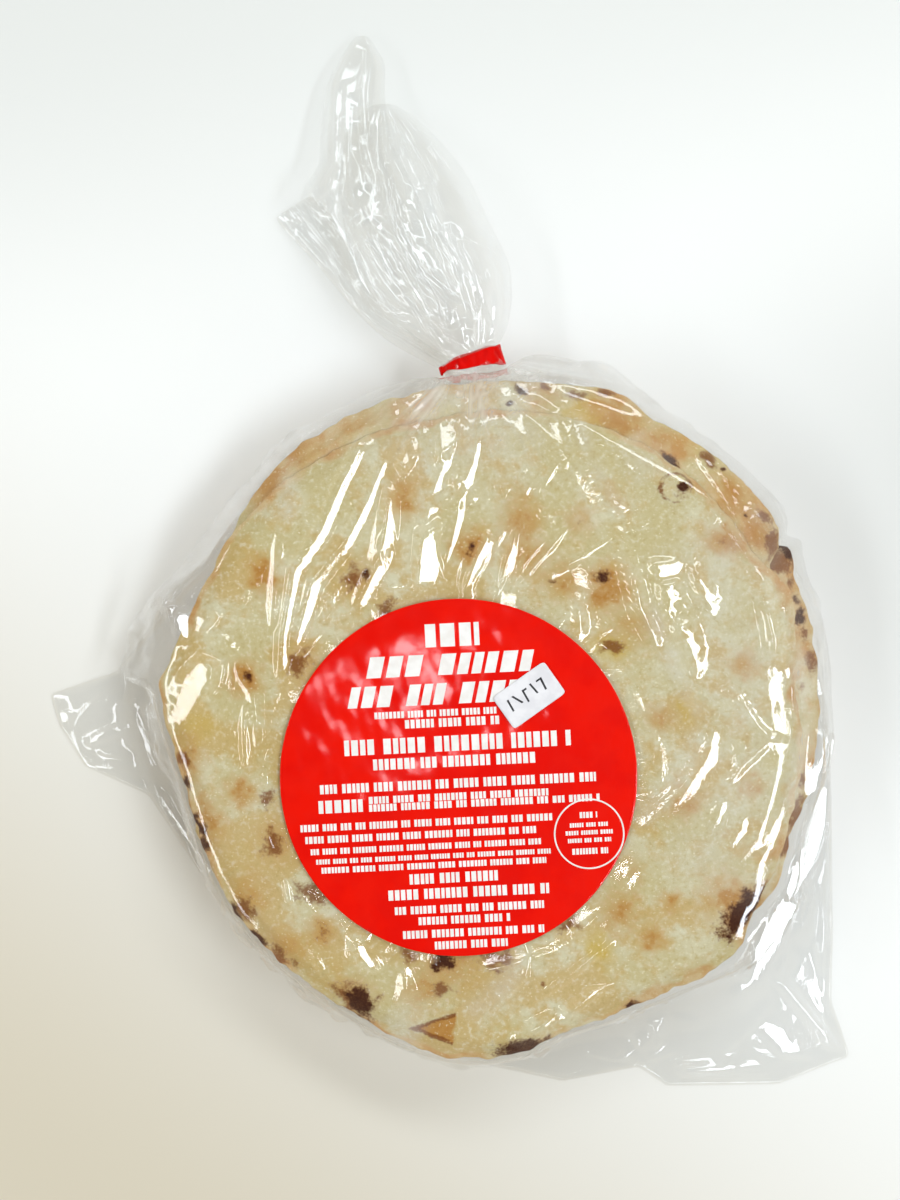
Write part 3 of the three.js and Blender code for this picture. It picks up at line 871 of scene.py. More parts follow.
# folds of the film, as seen from above: steepness, width left, width right, path of the crest
upperFolds = [
    (1.0, 5.0, 3.2, [
        (-30.5, 90.0), (-39.8, 72.6), (-45.6, 59.5), (-53.5, 47.0), (-56.6, 28.2), (-57.5, 8.5),
    ]),
    (1.0, 4.4, 3.0, [
        (-24.2, 88.0), (-27.3, 79.7), (-32.6, 67.2), (-39.1, 54.9), (-48.4, 43.8), (-55.5, 17),
    ]),
    (1.0, 5.5, 4.5, [(-25.3, 75.0), (-26.0, 66.0), (-29.3, 49.5), (-33.9, 40.4), (-37.0, 32.5)]),
    (1.0, 2.4, 2.2, [(-37.1, 48.4), (-46.4, 31.3)]),
    (1.0, 4.0, 3.6, [(-19.4, 86.0), (-19.8, 78.8), (-24.5, 75.0)]),
    (1.0, 4.4, 4.0, [
        (-11.1, 90.5), (-8.0, 84.1), (-13.2, 71.9), (-15.4, 63.2), (-18.0, 45.7), (-19.5, 40),
    ]),
    (1.0, 3.6, 3.6, [(1.2, 93.0), (-4.9, 69.3), (-6.3, 65.3), (-8.5, 55.5), (-12.0, 43.5)]),
    (1.1, 2.6, 2.6, [(-19.1, 56.6), (-14.5, 65.3), (-8.4, 67.5), (-4.7, 67.3), (-0.6, 68.6), (5.1, 68.8)]),
    (1.0, 3.6, 3.6, [(-4.1, 78.8), (-5.4, 73.7), (-7.1, 71.9), (-10.2, 67.5)]),
    (1.0, 3.8, 3.6, [(2.9, 57.5), (-0.6, 50.5), (-5.2, 39.0)]),
    (1.0, 3.6, 3.6, [(9.8, 57.6), (7.4, 49.8), (5.0, 43.0)]),
    (1.0, 2.0, 2.0, [(23.4, 79.5), (15.5, 67.5)]), (1.0, 2.0, 2.0, [(15.5, 67.5), (18.6, 61.4)]),
    (1.0, 1.6, 1.6, [(18.6, 75.8), (5.5, 61.8)]), (0.9, 1.2, 1.2, [(12.9, 73.7), (7.7, 67.5)]),
    (1.0, 2.2, 2.2, [(26.9, 61.4), (15.1, 47.9), (8.5, 39.6)]),
    (1.1, 2.2, 2.2, [(40.5, 58.0), (19.9, 45.8), (12.8, 45.0)]),
    (1.0, 1.6, 1.6, [(11.6, 82.3), (12.9, 76.7), (17.3, 78.0)]),
    (1.0, 3.6, 3.6, [(-8.0, 99.8), (-5.8, 95.6), (-2.4, 95.8)]),
    (1.0, 1.6, 1.6, [(-6.7, 94.5), (-5.8, 90.6), (-3.2, 88.9)]),
    (1.0, 2.0, 2.0, [(-21.9, 96.7), (-21.5, 91.5), (-20.2, 87.6)]),
    (0.8, 1.8, 1.8, [(4.6, 103.3), (6.4, 92.4), (6.0, 76.3)]),
    (1.0, 1.4, 1.4, [(-26.0, 95.0), (-41.7, 82.3), (-52.2, 75.7)]),
]
leftFolds = [
    (1.0, 3.6, 3.6, [(-56.7, 61.0), (-57.5, 50.9), (-58.2, 38.5), (-59.2, 27.5)]),
    (1.0, 4.0, 3.6, [(-85.0, 26.3), (-79.7, 23.7), (-75.8, 26.3), (-71.9, 26.3), (-69.3, 23.7)]),
    (1.0, 3.6, 3.6, [(-69.3, 23.7), (-68.0, 16.7), (-64.5, 12.4), (-63.6, 4.1), (-62.7, -6.8)]),
    (1.0, 7.0, 5.0, [(-75.5, 22.5), (-81.0, 13.5), (-86.0, 3.5)]),
    (1.0, 1.8, 1.8, [(-76.7, 10.2), (-68.0, 11.5)]),
    (1.0, 2.6, 2.6, [(-66.4, 10.6), (-67.1, 1.9), (-66.7, -10.8)]),
    (1.0, 2.0, 2.0, [(-71.2, 58.7), (-78.3, 48.4), (-84.8, 43.8), (-91.1, 40.4)]),
    (1.0, 2.2, 2.2, [(-55.6, -40.1), (-53.8, -48.8)]), (1.0, 1.8, 1.8, [(-48.6, -60.0), (-43.4, -69.5)]),
    (1.0, 5.5, 4.5, [(-36.8, -54.5), (-34.5, -61.5), (-27.5, -68.0)]),
    (1.0, 3.6, 3.6, [(-21.7, -64.5), (-21.2, -71.8), (-24.2, -77.5)]),
    (1.0, 3, 3, [(-119.0, -0.3), (-105.6, 12.8)]), (1.0, 3, 3, [(-112.7, -2.6), (-98.2, 3.4)]),
    (1.0, 2, 2, [(-109.0, -4.6), (-97.6, -6.0)]), (1.0, 4, 4, [(-98.5, 22.5), (-97.5, 14), (-99, 6)]),
    (1.0, 3, 3, [(-99.6, 10.0), (-90.2, -19.9), (-78.5, -48.1)]),
]
rightFolds = [
    (1.0, 2.4, 2.0, [(25.3, 97.0), (27.6, 83.1), (33.3, 70.6), (38.4, 61.2)]),
    (1.0, 1.8, 1.8, [(20.0, 104.0), (25.5, 82.0), (35.4, 61.0)]),
    (1.0, 4.4, 4.0, [(38.0, 62.0), (40.7, 52.5), (43.5, 42.4), (45.0, 35.9), (50.1, 25.6), (51.4, 21.5)]),
    (1.0, 6.5, 5.0, [(52.5, 51.5), (53.0, 44.0), (54.2, 36.5), (58.5, 27.5), (62.8, 16.5)]),
    (1.0, 2.4, 2.2, [(54.0, 49.6), (60.3, 49.0), (61.8, 43.1), (65.3, 35.1), (66.8, 32.0)]),
    (1.0, 2.2, 2.2, [(59.5, 82.3), (72.6, 62.6), (79.1, 50.4)]),
    (1.0, 1.4, 1.4, [(66.0, 79.3), (75.8, 64.0), (80.6, 50.0)]),
    (1.0, 3.8, 3.6, [(79.0, 51.0), (80.5, 40.1), (83.5, 26.5), (86.4, 8.9), (87.0, -1.0)]),
    (1.1, 2.2, 2.2, [(52.3, 64.9), (39.8, 59.8)]),
    (1.0, 2.0, 2.0, [(31.2, 25.6), (35.2, 29.6), (39.6, 30.4)]),
    (1.0, 3.8, 3.6, [(26.9, 41.0), (27.8, 33.0), (28.3, 25.5)]),
    (1.0, 5.0, 4.0, [(87.4, 0.5), (84.9, -11.0), (82.0, -19.9), (78.3, -28.9), (69.5, -40.0)]),
    (1.0, 2.4, 2.4, [(67.7, 13.5), (73.0, 12.1), (78.2, 3.1), (82.0, -0.6), (87.5, -0.6)]),
    (1.0, 2.0, 2.0, [(82.7, -1.3), (74.5, -8.8), (70.0, -14.8)]),
    (1.0, 3.6, 3.6, [(72.6, -1.0), (74.5, -6.0), (71.8, -11.0)]),
    (1.0, 3.6, 3.6, [(69.6, -15.6), (67.1, -23.0), (64.6, -28.0)]),
    (1.0, 5.0, 4.0, [(66.3, 4.4), (64.0, -5.8), (58.1, -14.8), (52.1, -21.5), (43.5, -29.0)]),
    (1.0, 2.0, 2.0, [(55.1, -13.3), (45.5, -20.7)]),
    (1.0, 2.2, 2.2, [(39.5, -57.2), (23.8, -69.9), (11.2, -78.1)]),
    (1.0, 4.0, 3.6, [(34.8, -71.8), (26.8, -75.9), (19.4, -81.8), (6.5, -87.6)]),
    (1.0, 2.2, 2.2, [(14.4, -60.8), (12.7, -68.4), (4.5, -76.6), (-0.8, -81.0)]),
    (1.0, 3.6, 3.6, [(24.5, -54.0), (22.5, -57.5)]),
]
cornerFolds = [
    (1.0, 9, 8, [(97.3, 6), (98.6, -18.5), (96.5, -38.4), (91.1, -51.2), (84, -62.6), (74.4, -72.2)]),
    (1.0, 3.6, 3.6, [(83, -66), (92, -76), (103.5, -90.5)]),
    (1.0, 4, 3.6, [(101.9, 12.8), (102.6, -12), (101.6, -39.3), (101, -69.2)]),
    (1.0, 3.6, 3.6, [(51.5, -81.7), (48.4, -86.5), (38.9, -91.4)]),
    (1.0, 2.4, 2.4, [(50.7, -83.1), (49, -88.7), (45.8, -94.8)]),
    (1.0, 2.4, 2.4, [(54.1, -80), (63.2, -82.5)]),
    (1.0, 4.5, 4, [(55.8, -94.2), (68, -95.2), (81.1, -95.6)]),
    (1.0, 2.4, 2.4, [(33.2, -95.6), (44.5, -94)]),
    (1.0, 2.2, 2.2, [(83.7, -74.8), (75, -84.2), (66.3, -92.2)]),
    (1.0, 2.4, 2.4, [(86.2, -66), (83.7, -69.2), (91.1, -76.6)]),
    (1.0, 2, 2, [(28, -90), (46, -92.5), (60, -88)]),
    (1.0, 3.6, 3.6, [(96, -70), (99, -78), (104, -86)]), (1.0, 2, 2, [(88, -78), (91, -90)]),
]


# flat pieces of film between creases, as seen from above: convex, counter-clockwise
flatPieces = [
    [(-85.8, 27.1), (-81.9, 27.1), (-82.2, 34.9), (-91.4, 39.8)],
    [(-82.9, 26.7), (-79.0, 29.3), (-75.4, 34.0), (-83.2, 34.9)],
    [(-84.9, 16.3), (-89.1, 3.5), (-82.9, 4.5), (-75.4, 15.0), (-74.4, 20.2), (-79.6, 22.5)],
    [(-11.9, 78.4), (-9.7, 80.6), (-6.7, 84.7), (-11.3, 88.4)],
    [(-21.9, 74.3), (-20.0, 76.7), (-19.7, 81.5), (-23.5, 77.5)],
    [(-28.5, 54.4), (-27.2, 50.1), (-24.1, 54.4), (-24.1, 67.5), (-26.7, 69.3)],
    [(-6.7, 70.3), (-5.4, 71.9), (-4.7, 74.5), (-8.4, 72.3)],
    [(-6.2, 66.0), (-4.1, 65.6), (-2.8, 68.6), (-5.8, 68.4)],
    [(-18.4, 50.1), (-18.0, 41.4), (-11.5, 44.4), (-12.3, 60.5), (-17.6, 57.5)],
    [(-4.7, 40.1), (-4.1, 39.6), (4.0, 53.8), (2.0, 57.1), (-0.6, 52.3)],
    [(7.7, 50.5), (6.4, 44.0), (8.6, 47.0), (11.6, 51.4), (9.7, 57.1)],
    [(50.3, 43.1), (55.5, 43.8), (59.5, 49.6), (47.7, 49.6)],
    [(54.2, 32.7), (57.5, 32.7), (55.5, 43.8), (50.3, 43.1)],
    [(54.2, 32.7), (61.7, 17.0), (63.4, 20.3), (62.7, 24.8), (58.2, 32.0)],
    [(60.3, 43.1), (66.0, 32.7), (67.7, 36.6), (66.0, 41.8), (60.3, 48.8)],
    [(96.9, -13.3), (101.0, -11.8), (101.9, 0.9), (97.6, 0.9)],
    [(91.6, -28.9), (85.7, -46.8), (88.7, -46.8), (96.1, -34.9), (100.2, -17.0), (96.9, -12.5)],
    [(77.5, -60.2), (71.9, -74.7), (79.0, -71.4), (85.7, -61.7), (91.3, -46.8), (85.7, -46.1)],
    [(99.1, -89.3), (104.7, -90.4), (87.2, -69.9), (82.7, -68.8)],
    [(95.0, -58.7), (98.3, -73.6), (100.6, -75.1), (99.5, -54.2), (96.1, -46.1)],
    [(48.5, -86.5), (50.6, -87.9), (52.2, -80.9), (48.5, -82.6)],
    [(41.5, -91.8), (48.9, -86.5), (48.5, -84.4), (38.9, -91.8)],
    [(57.6, -96.1), (80.3, -97.0), (80.7, -95.5), (64.2, -92.9), (55.4, -93.5)],
    [(22.8, -81.8), (30.6, -76.1), (35.2, -71.7), (31.5, -72.2), (22.8, -78.7)],
    [(80.5, -84.0), (85.7, -90.7), (93.9, -91.5), (87.9, -86.3)],
    [(99.1, -28.9), (99.1, -46.8), (101.7, -54.2), (101.7, -28.9)],
    [(-34.9, -62.4), (-31.1, -66.2), (-29.2, -65.7), (-33.5, -58.6), (-35.8, -59.6)],
]


def neckPleats(seed):  # narrow folds that fan out from the tape
    draw = np.random.default_rng(seed)
    count = film["neckPleats"]
    pleats = []
    for step in range(count):
        angle = math.radians(-68 + 136 * (step + draw.uniform(0.1, 0.9)) / count)
        start, end = draw.uniform(3, 6), draw.uniform(14, 34)
        shift = 0.35 * neckWidth * math.sin(angle)
        path = [
            (neck[0] + shift + away * math.sin(angle + bend), neck[1] - away * math.cos(angle + bend))
            for away, bend in ((start, 0), ((start + end) / 2, draw.uniform(-0.05, 0.05)), (end, 0))
        ]
        wide = draw.uniform(1.2, 2.4)
        pleats.append((0.9, wide, wide, path))
    return pleats


def lampTilt(lamp, x, y):
    # lean of a sheet at (x, y) that throws a lamp's light at the camera: the half-way direction
    # between lamp and camera, over its own height
    lampAt = towards(lamp) * lamp["distance"]
    here = np.array([x, y, stackTop])
    toLamp = (lampAt - here) / np.linalg.norm(lampAt - here)
    toCamera = (cameraAt - here) / np.linalg.norm(cameraAt - here)
    half = toLamp + toCamera
    return half[:2] / half[2]


def gridLean(points):
    # lean of a grid surface whose columns run round: its normal's sideways part over its height
    down = np.gradient(points, axis=0)
    onwards = np.roll(points, -1, 1) - np.roll(points, 1, 1)
    normal = np.cross(onwards, down)
    upright = np.where(np.abs(normal[..., 2]) < 1e-6, 1e-6, normal[..., 2])
    return normal[..., :2] / upright[..., None]


def alongFold(path, spacing):  # places every few millimetres along a chain of points
    table = np.array(path, float)
    steps = np.concatenate([[0], np.cumsum(np.hypot(*np.diff(table, axis=0).T))])
    want = np.linspace(0, steps[-1], max(3, int(steps[-1] / spacing) + 1))
    return np.stack([np.interp(want, steps, table[:, 0]), np.interp(want, steps, table[:, 1])], -1)


folding = {
    "narrow": 3.5,       # folds narrower than this are plain ridges
    "ridge": 0.36,       # height of a plain ridge over its width
    "ridgeWidth": 0.75,
    "spacing": 6,        # distance between the places where a tent's height is worked out
    "window": 4,         # how far round a place the sheet's lean is taken
    "steepness": (0.015, 0.7),
    "wanted": 0.3,       # steepness that a flank has rather than others
}


def leanNear(lean, near):  # mean lean of the sheet over some of its points, not past the steepest
    steepest = folding["steepness"][1]
    return np.clip(lean[near].mean(0), -steepest, steepest) if near.any() else np.zeros(2)


def tentSteepness(x, y, lean, path):
    # steepness of a tent's left flank, positive, or right flank, negative, at places along its
    # crest: for each lamp the lean that mirrors it, less the sheet's own lean, is split into a part
    # along the crest, which is amiss, and a part across; the lamp with the least cost is taken
    places = alongFold(path, folding["spacing"])
    forward = np.gradient(places, axis=0)
    forward /= np.hypot(forward[:, 0], forward[:, 1])[:, None]
    leftward = np.stack([-forward[:, 1], forward[:, 0]], -1)
    base = np.array([
        leanNear(lean, np.hypot(x - spotX, y - spotY) < folding["window"]) for spotX, spotY in places
    ])
    needs = np.array([[lampTilt(lamp, *spot) for spot in places] for lamp in glintLamps]) - base
    amiss = np.abs((needs * forward).sum(-1))
    across = (needs * leftward).sum(-1)
    cost = amiss + 0.3 * np.abs(np.abs(across) - folding["wanted"])
    cost[:, 1:-1] = (cost[:, :-2] + cost[:, 1:-1] + cost[:, 2:]) / 3
    return np.take_along_axis(across, cost.argmin(0)[None], 0)[0]


def foldHeights(x, y, lean, foldList):
    # a wide fold is a tent, height h (1 - s) with s the distance from its crest over its width, a
    # narrow one a ridge h (1 - s^2). The tent's height follows the sheet under it, so that one
    # flank leans as much as it takes to mirror the lamp that suits that stretch best
    total = np.zeros(x.shape)
    cover = np.zeros(x.shape)
    for steepness, wideLeft, wideRight, path in foldList:
        apart, share = alongPath(x, y, path)
        taper = 0.25 + 0.75 * np.sqrt(np.clip(np.sin(np.pi * np.clip(share, 0.02, 0.98)), 0, 1))
        wide = np.where(apart > 0, wideLeft, wideRight) * taper
        if max(wideLeft, wideRight) < folding["narrow"]:
            height = folding["ridge"] * wideLeft * steepness * taper
            ridge = np.clip(1 - (apart / (folding["ridgeWidth"] * wide)) ** 2, 0, 1)
        else:
            side = tentSteepness(x, y, lean, path)
            heights = np.clip(np.abs(side), *folding["steepness"]) * np.where(side > 0, wideLeft, wideRight)
            height = steepness * np.interp(share, np.linspace(0, 1, len(side)), heights) * taper
            ridge = np.clip(1 - np.abs(apart) / wide, 0, 1)
        ends = softStep(share, 0, 0.1) * (1 - 0.9 * softStep(share, 0.85, 1))
        total = np.maximum(total, height * ridge * ends)
        cover = np.maximum(cover, softStep(ridge, 0, 0.15) * ends)
    return total, cover


flats = {
    "terrace": 3.5,       # height at which a flat piece starts again lower
    "flank": 1.0,         # width of the slope round it
    "slope": 1.5,         # steepness of that slope
    "lift": 0.25,
    "rough": (0.03, 4.5),  # facets on it: depth, size
}


def flatHeights(x, y, points, lean):
    # each flat piece is a plane that leans as much as it takes to mirror the lamp that suits it best,
    # laid just over the sheet in low terraces, and cut off by steep flanks along its outline
    total = np.zeros(x.shape)
    cover = np.zeros(x.shape)
    depthOfRough, size = flats["rough"]
    rough = flats["lift"] + depthOfRough * facets(x, y, size, 351)
    for corners in flatPieces:
        depth = insideOf(x, y, corners)[0]
        within = depth > -flats["flank"]
        middle = np.mean(corners, 0)
        needs = np.array([lampTilt(lamp, *middle) for lamp in glintLamps])
        need = needs[np.hypot(*(needs - leanNear(lean, within)).T).argmin()]
        plane = -need[0] * points[..., 0] - need[1] * points[..., 1] - points[..., 2]
        plane = (plane - plane[within].min()) % flats["terrace"] + rough
        slope = flats["slope"] * np.clip(depth + flats["flank"], 0, None)
        total = np.maximum(total, np.minimum(plane, slope))
        cover = np.maximum(cover, softStep(depth, -flats["flank"], 0))
    return total, cover


veils = [  # milky bands of doubled film: half width, strength, path
    (16, 0.21, [(62, 66), (76, 30), (74, -15), (60, -50)]),
    (3.0, 0.30, [(46, 44.4), (48.9, 35.3), (53.6, 24.4), (57.6, 15.4), (61.2, 8.1), (66.3, 4.4)]),
    (4.0, 0.30, [(65, 4), (61, -6), (52, -17), (42, -26)]),
    (4.0, 0.25, [(14, -60), (8, -70), (-4, -82)]),
    (3.2, 0.35, [(88.5, 30), (91.5, 10), (91.6, -4.3), (89, -16), (86, -25)]),
    (3.0, 0.2, [(76, 66), (84, 56)]), (2.4, 0.25, [(-53.5, 80.3), (-55.5, 60)]),
    (7.0, 0.22, [(-27, -78), (-15, -86)]), (2.0, 0.2, [(-10, 100), (-16, 70)]),
    (6.0, 0.22, [(42, 86), (50, 72)]),
    (2.0, 0.2, [(4, 104), (-2, 80)]), (2.5, 0.25, [(22, 104), (32, 78), (42, 60)]),
]


def aboutNeck(x, y):  # distance from the neck, and angle from straight down below it
    return np.hypot(x - neck[0], y - neck[1]), np.arctan2(x - neck[0], neck[1] - y)


def veilFields(x, y, height):
    # milky bands fade as exp(-(d / w)^2) across; the pleated film at the neck is milky too
    fromNeck, aroundNeck = aboutNeck(x, y)
    pleated = creases(aroundNeck * 70, fromNeck * 0.15, 6, 343, 5, (-0.2, 0.2))
    everywhere, inPleats, far = film["neckVeil"]
    veil = (everywhere + inPleats * pleated) * np.exp(-(fromNeck / far) ** 2) * softStep(height, 6, 20)
    for halfWidth, strength, path in veils:
        apart, share = alongPath(x, y, path)
        ends = softStep(share, 0, 0.15) * (1 - softStep(share, 0.85, 1))
        veil = np.maximum(veil, strength * np.exp(-(apart / halfWidth) ** 2) * ends)
    return veil * np.clip(0.8 + 0.25 * waves(x, y, 9, 330), 0, 1)


def seenFromAbove(points):
    # where a point appears at the height of the label, looking from the camera
    eyeX, eyeY = cameraAt[:2]
    share = view["distance"] / (view["distance"] + stackTop - points[..., 2])
    return eyeX + (points[..., 0] - eyeX) * share, eyeY + (points[..., 1] - eyeY) * share


def bulge(middle, wide, depth, power):
    # depth exp(-(a / w)^p), a being the angle from the middle direction in degrees
    away = (np.degrees(topAngles) - middle + 180) % 360 - 180
    return depth * np.exp(-(away / wide) ** power)


def filmOutlines(turn):
    # reach of each level in each direction from the label's middle
    shoulder = bulge(*film["shoulder"])
    corner = sum(bulge(*pulled) for pulled in film["corners"])
    notch = bulge(*film["notch"])
    taut, wing, flap = (reachOfCorners(chain, topAngles) for chain in (tautSide, leftWing, cornerFlap))
    pleat = film["pleat"] * (0.6 * np.cos(17 * topAngles + 1) + 0.4 * np.cos(29 * topAngles + 2))
    rim = topEdge + 0.9 + 0.8 * corner
    ledge = np.maximum(topEdge + 1.9, np.maximum(secondEdge, thirdEdge) + 0.9)
    girth = np.maximum(ledge + film["slack"] + shoulder + pleat, taut) - notch
    ledge = ledge + corner - 0.2 * notch + 0.35 * np.clip(girth - ledge - film["slack"], 0, None)
    foot = girth - film["tuck"] - 0.8 * np.clip(girth - ledge - film["slack"], 0, None)
    foot = np.maximum(foot, np.maximum(wing, flap))
    return [aroundPoint(topAngles, level, labelMiddle, turn) for level in (rim, ledge, girth, foot)]


def filmProfile(turn):
    # reach and height of every row of the film, straight between the levels, then smoothed
    rim, ledge, girth, foot = filmOutlines(turn)
    spread = foot - girth
    lying = 1.5 + film["flapSlope"] * np.clip(spread, 0, None)[None] * np.array([0.2, 0.55, 0.85])[:, None]
    flat = np.full(turn.shape, labelRadius + film["labelRoom"])
    levels = [  # reach, height, rows up to the next
        (foot * 0.2, film["lift"], 3),
        (foot * 0.8, film["lift"], 5),
        (foot - 2, film["lift"], 2),
        (foot, 0.7, 2),
        (foot - 0.3, 1.5, 8),
        (girth + 0.8 * spread, lying[0], 11),
        (girth + 0.45 * spread, lying[1], 9),
        (girth + 0.15 * spread, lying[2] + 3.5, 8),
        (girth, film["girthHeight"], 8),
        (ledge + 0.7 * film["slack"], 32, 5),
        (ledge + 0.4, 38, 4),
        (ledge - 1.5, 41.2, 10),
        (rim + 0.3, 43.4, 5),
        (rim - 3, 45.2, 5),
        (rim - 9, film["top"], 34),
        (flat, film["top"], 8),
        (flat * 0.1, film["top"], 1),
    ]
    reach = []
    height = []
    for level, following in zip(levels, levels[1:] + levels[-1:]):
        for share in np.arange(level[2]) / level[2]:
            reach.append(level[0] + (following[0] - level[0]) * share)
            height.append(np.ones(turn.shape) * (level[1] + (following[1] - level[1]) * share))
    reach = np.array(reach)
    height = np.array(height)
    for _ in range(3):
        for rows in (reach, height):
            rows[9:-9] = (rows[8:-10] + 2 * rows[9:-9] + rows[10:-8]) / 4
    return reach, height, girth


def looseCreases(seenX, seenY, down, around, height, rests):
    # creases where no known fold lies: a fan from the neck and facets above, deeper facets down the
    # flanks, broad ones where the film rests on the table
    fromNeck, aroundNeck = aboutNeck(seenX, seenY)
    depth, size, far = film["fan"]
    fan = depth * creases(aroundNeck * 70, fromNeck * 0.25, size, 301, 7, (-0.25, 0.25))
    fan = fan * (0.25 + 0.75 * np.exp(-(fromNeck / far) ** 2))
    depth, wide, narrow = film["crumple"]
    crumple = facets(seenX, seenY, wide, 302) + 0.3 * facets(seenX, seenY, narrow, 303, 1, 1.1)
    high = 0.6 * fan + depth * crumple
    depth, wide, narrow = film["sides"]
    sides = facets(down, around, wide, 304, 2.5) + 0.5 * facets(down, around, narrow, 305, 1.4, 0.6)
    low = depth * sides * (1 - 0.85 * rests)
    depth, wide, narrow = film["flap"]
    broad = facets(seenX, seenY, wide, 306) + 0.55 * facets(seenX, seenY, narrow, 307, 1.6, 1.0)
    low = low + depth * broad * rests
    flank = 1 - softStep(height, 30, 44)
    return (1 - flank) * high + flank * low


def filmShell():
    # profile from the table's side up to the label, carried round the label's middle, then moved
    # along its own normal by the folds and creases
    turn = np.linspace(0, fullTurn, film["columns"], endpoint=False)
    reach, height, girth = filmProfile(turn)
    slopeR = np.gradient(reach, axis=0)
    slopeZ = np.gradient(height, axis=0)
    size = np.hypot(slopeR, slopeZ) + 1e-9
    outR = slopeZ / size
    outZ = -slopeR / size
    x = labelMiddle[0] + reach * np.cos(turn)
    y = labelMiddle[1] + reach * np.sin(turn)
    points = np.stack([x, y, height], -1)
    seenX, seenY = seenFromAbove(points)
    row = np.arange(len(reach))[:, None] + 0 * reach
    pastLabel = reach - labelRadius
    calm = softStep(row, 12, 20) * softStep(pastLabel, *film["calmRing"])
    lean = gridLean(points)
    folds = upperFolds + leftFolds + rightFolds + cornerFolds + neckPleats(342)
    known, cover = foldHeights(seenX, seenY, lean, folds)
    plane, flatCover = flatHeights(seenX, seenY, points, lean)
    known = known * (1 - flatCover)
    cover = np.maximum(cover, flatCover)
    rests = softStep(reach - girth, 1, 6) * (1 - softStep(height, 6, 12))
    loose = looseCreases(seenX, seenY, np.cumsum(size, axis=0), turn * 100 + 0 * reach, height, rests)
    loose = loose * softStep(pastLabel, *film["looseRing"]) * (1 - 0.75 * cover) * (1 - flatCover)
    rise, distance, width = film["swell"]
    swell = rise * np.exp(-((pastLabel - distance) / width) ** 2) * (1 - cover)
    swell = swell * (1 + 0.6 * waves(seenX, seenY, 14, 308))
    away = calm * (np.maximum(known, loose) + swell + film["margin"])
    x = x + away * outR * np.cos(turn)
    y = y + away * outR * np.sin(turn)
    z = height + away * outZ + calm * plane
    z = np.maximum(z, film["lift"] + 0.5 * softStep(row, 9, 12))
    veil = veilFields(seenX, seenY, height) * softStep(pastLabel, *film["veilRing"])
    under = [*labelMiddle, film["lift"]]
    over = [*labelMiddle, film["top"]]
    return loft("film_body", np.stack([x, y, z], -1), under, over, {"veil": veil})


finished(filmShell(), filmFinish, "bag")

# the gathered end: left edge, right edge, height of the middle, thickness
neckStations = [
    ((-14.0, 97.5), (14.0, 99.5), 27, 16), ((-9.5, 103.0), (8.9, 107.3), 26, 11),
    ((-10.6, 107.0), (6.2, 111.5), 25.6, 10.6), ((-11.4, 109.3), (5.4, 113.8), 25.0, 10.8),
]
frontStations = neckStations + [
    ((-15.2, 111.6), (4.6, 116.0), 24, 12), ((-22.5, 116.0), (4.0, 121.5), 24, 16),
    ((-32.8, 122.6), (1.6, 128.9), 22, 20), ((-40.9, 133.5), (-3.7, 136.3), 20, 22),
    ((-44.9, 143.6), (-9.4, 146.4), 19, 22), ((-50.6, 153.7), (-15.0, 153.7), 18, 20),
    ((-53.5, 161.0), (-18.2, 161.0), 17, 18), ((-48.8, 170.8), (-21.8, 169.3), 15, 16),
    ((-48.2, 179.9), (-25.8, 178.5), 13, 13), ((-47.5, 189.1), (-27.6, 186.2), 11, 11),
    ((-46.4, 197.7), (-28.8, 195.5), 9, 9), ((-43.3, 205.6), (-28.9, 204.9), 7, 7),
    ((-40.2, 211.8), (-31.5, 210.7), 5, 5), ((-38.1, 214.7), (-33.7, 214.3), 4, 3),
]
backStations = [
    ((leftX + 0.9, leftY), (rightX - 0.9, rightY), height, thick - 2)
    for (leftX, leftY), (rightX, rightY), height, thick in neckStations
] + [
    ((-13.6, 111.4), (6.4, 116.0), 20, 11), ((-18.5, 116.3), (9.0, 122.6), 18, 16),
    ((-24.6, 124.2), (10.2, 131.3), 17, 20), ((-33.1, 134.3), (9.4, 140.7), 16, 24),
    ((-38.8, 144.5), (5.9, 148.8), 15, 25), ((-41.0, 154.7), (2.0, 156.8), 14, 24),
    ((-42.6, 164.5), (-1.9, 165.9), 12, 20), ((-42.7, 173.7), (-6.9, 174.4), 10, 17),
    ((-41.5, 181.5), (-13.3, 182.2), 8, 13), ((-38.0, 187.9), (-19.2, 188.6), 6, 9),
    ((-33.7, 192.5), (-25.0, 192.5), 5, 5),
]
flapStations = [
    ((-11.0, 107.5), (-6.0, 110.0), 24, 3), ((-14.2, 109.6), (-10.4, 112.6), 19, 3),
    ((-27.6, 118.1), (-21.9, 121.9), 12, 3), ((-37.9, 128.1), (-31.1, 133.4), 8, 3),
    ((-48.2, 141.0), (-38.5, 147.1), 5, 3), ((-57.1, 151.0), (-44.7, 157.8), 3.2, 3),
    ((-62.8, 157.9), (-51.4, 164.8), 1.9, 2), ((-61.0, 160.0), (-54.4, 164.6), 1.4, 1),
]

# name: stations, columns, rows, depth of the long pleats, seed
tail = {
    "front": (frontStations, 340, 280, 6.5, 11),
    "back": (backStations, 320, 250, 5.5, 12),
    "flap": (flapStations, 120, 160, 1.2, 13),
}
tailFilm = {
    "pleat": 7,                 # size of the long pleats
    "crumple": (1.5, 9, 4.5),   # facets: depth, size of the wide ones, size of the narrow ones
    "plainUpTo": (2, 9),        # half width at which both fade in
    "veil": (0.006, 0.06, 22),  # milkiness: everywhere, at the tape besides, reach of that
}

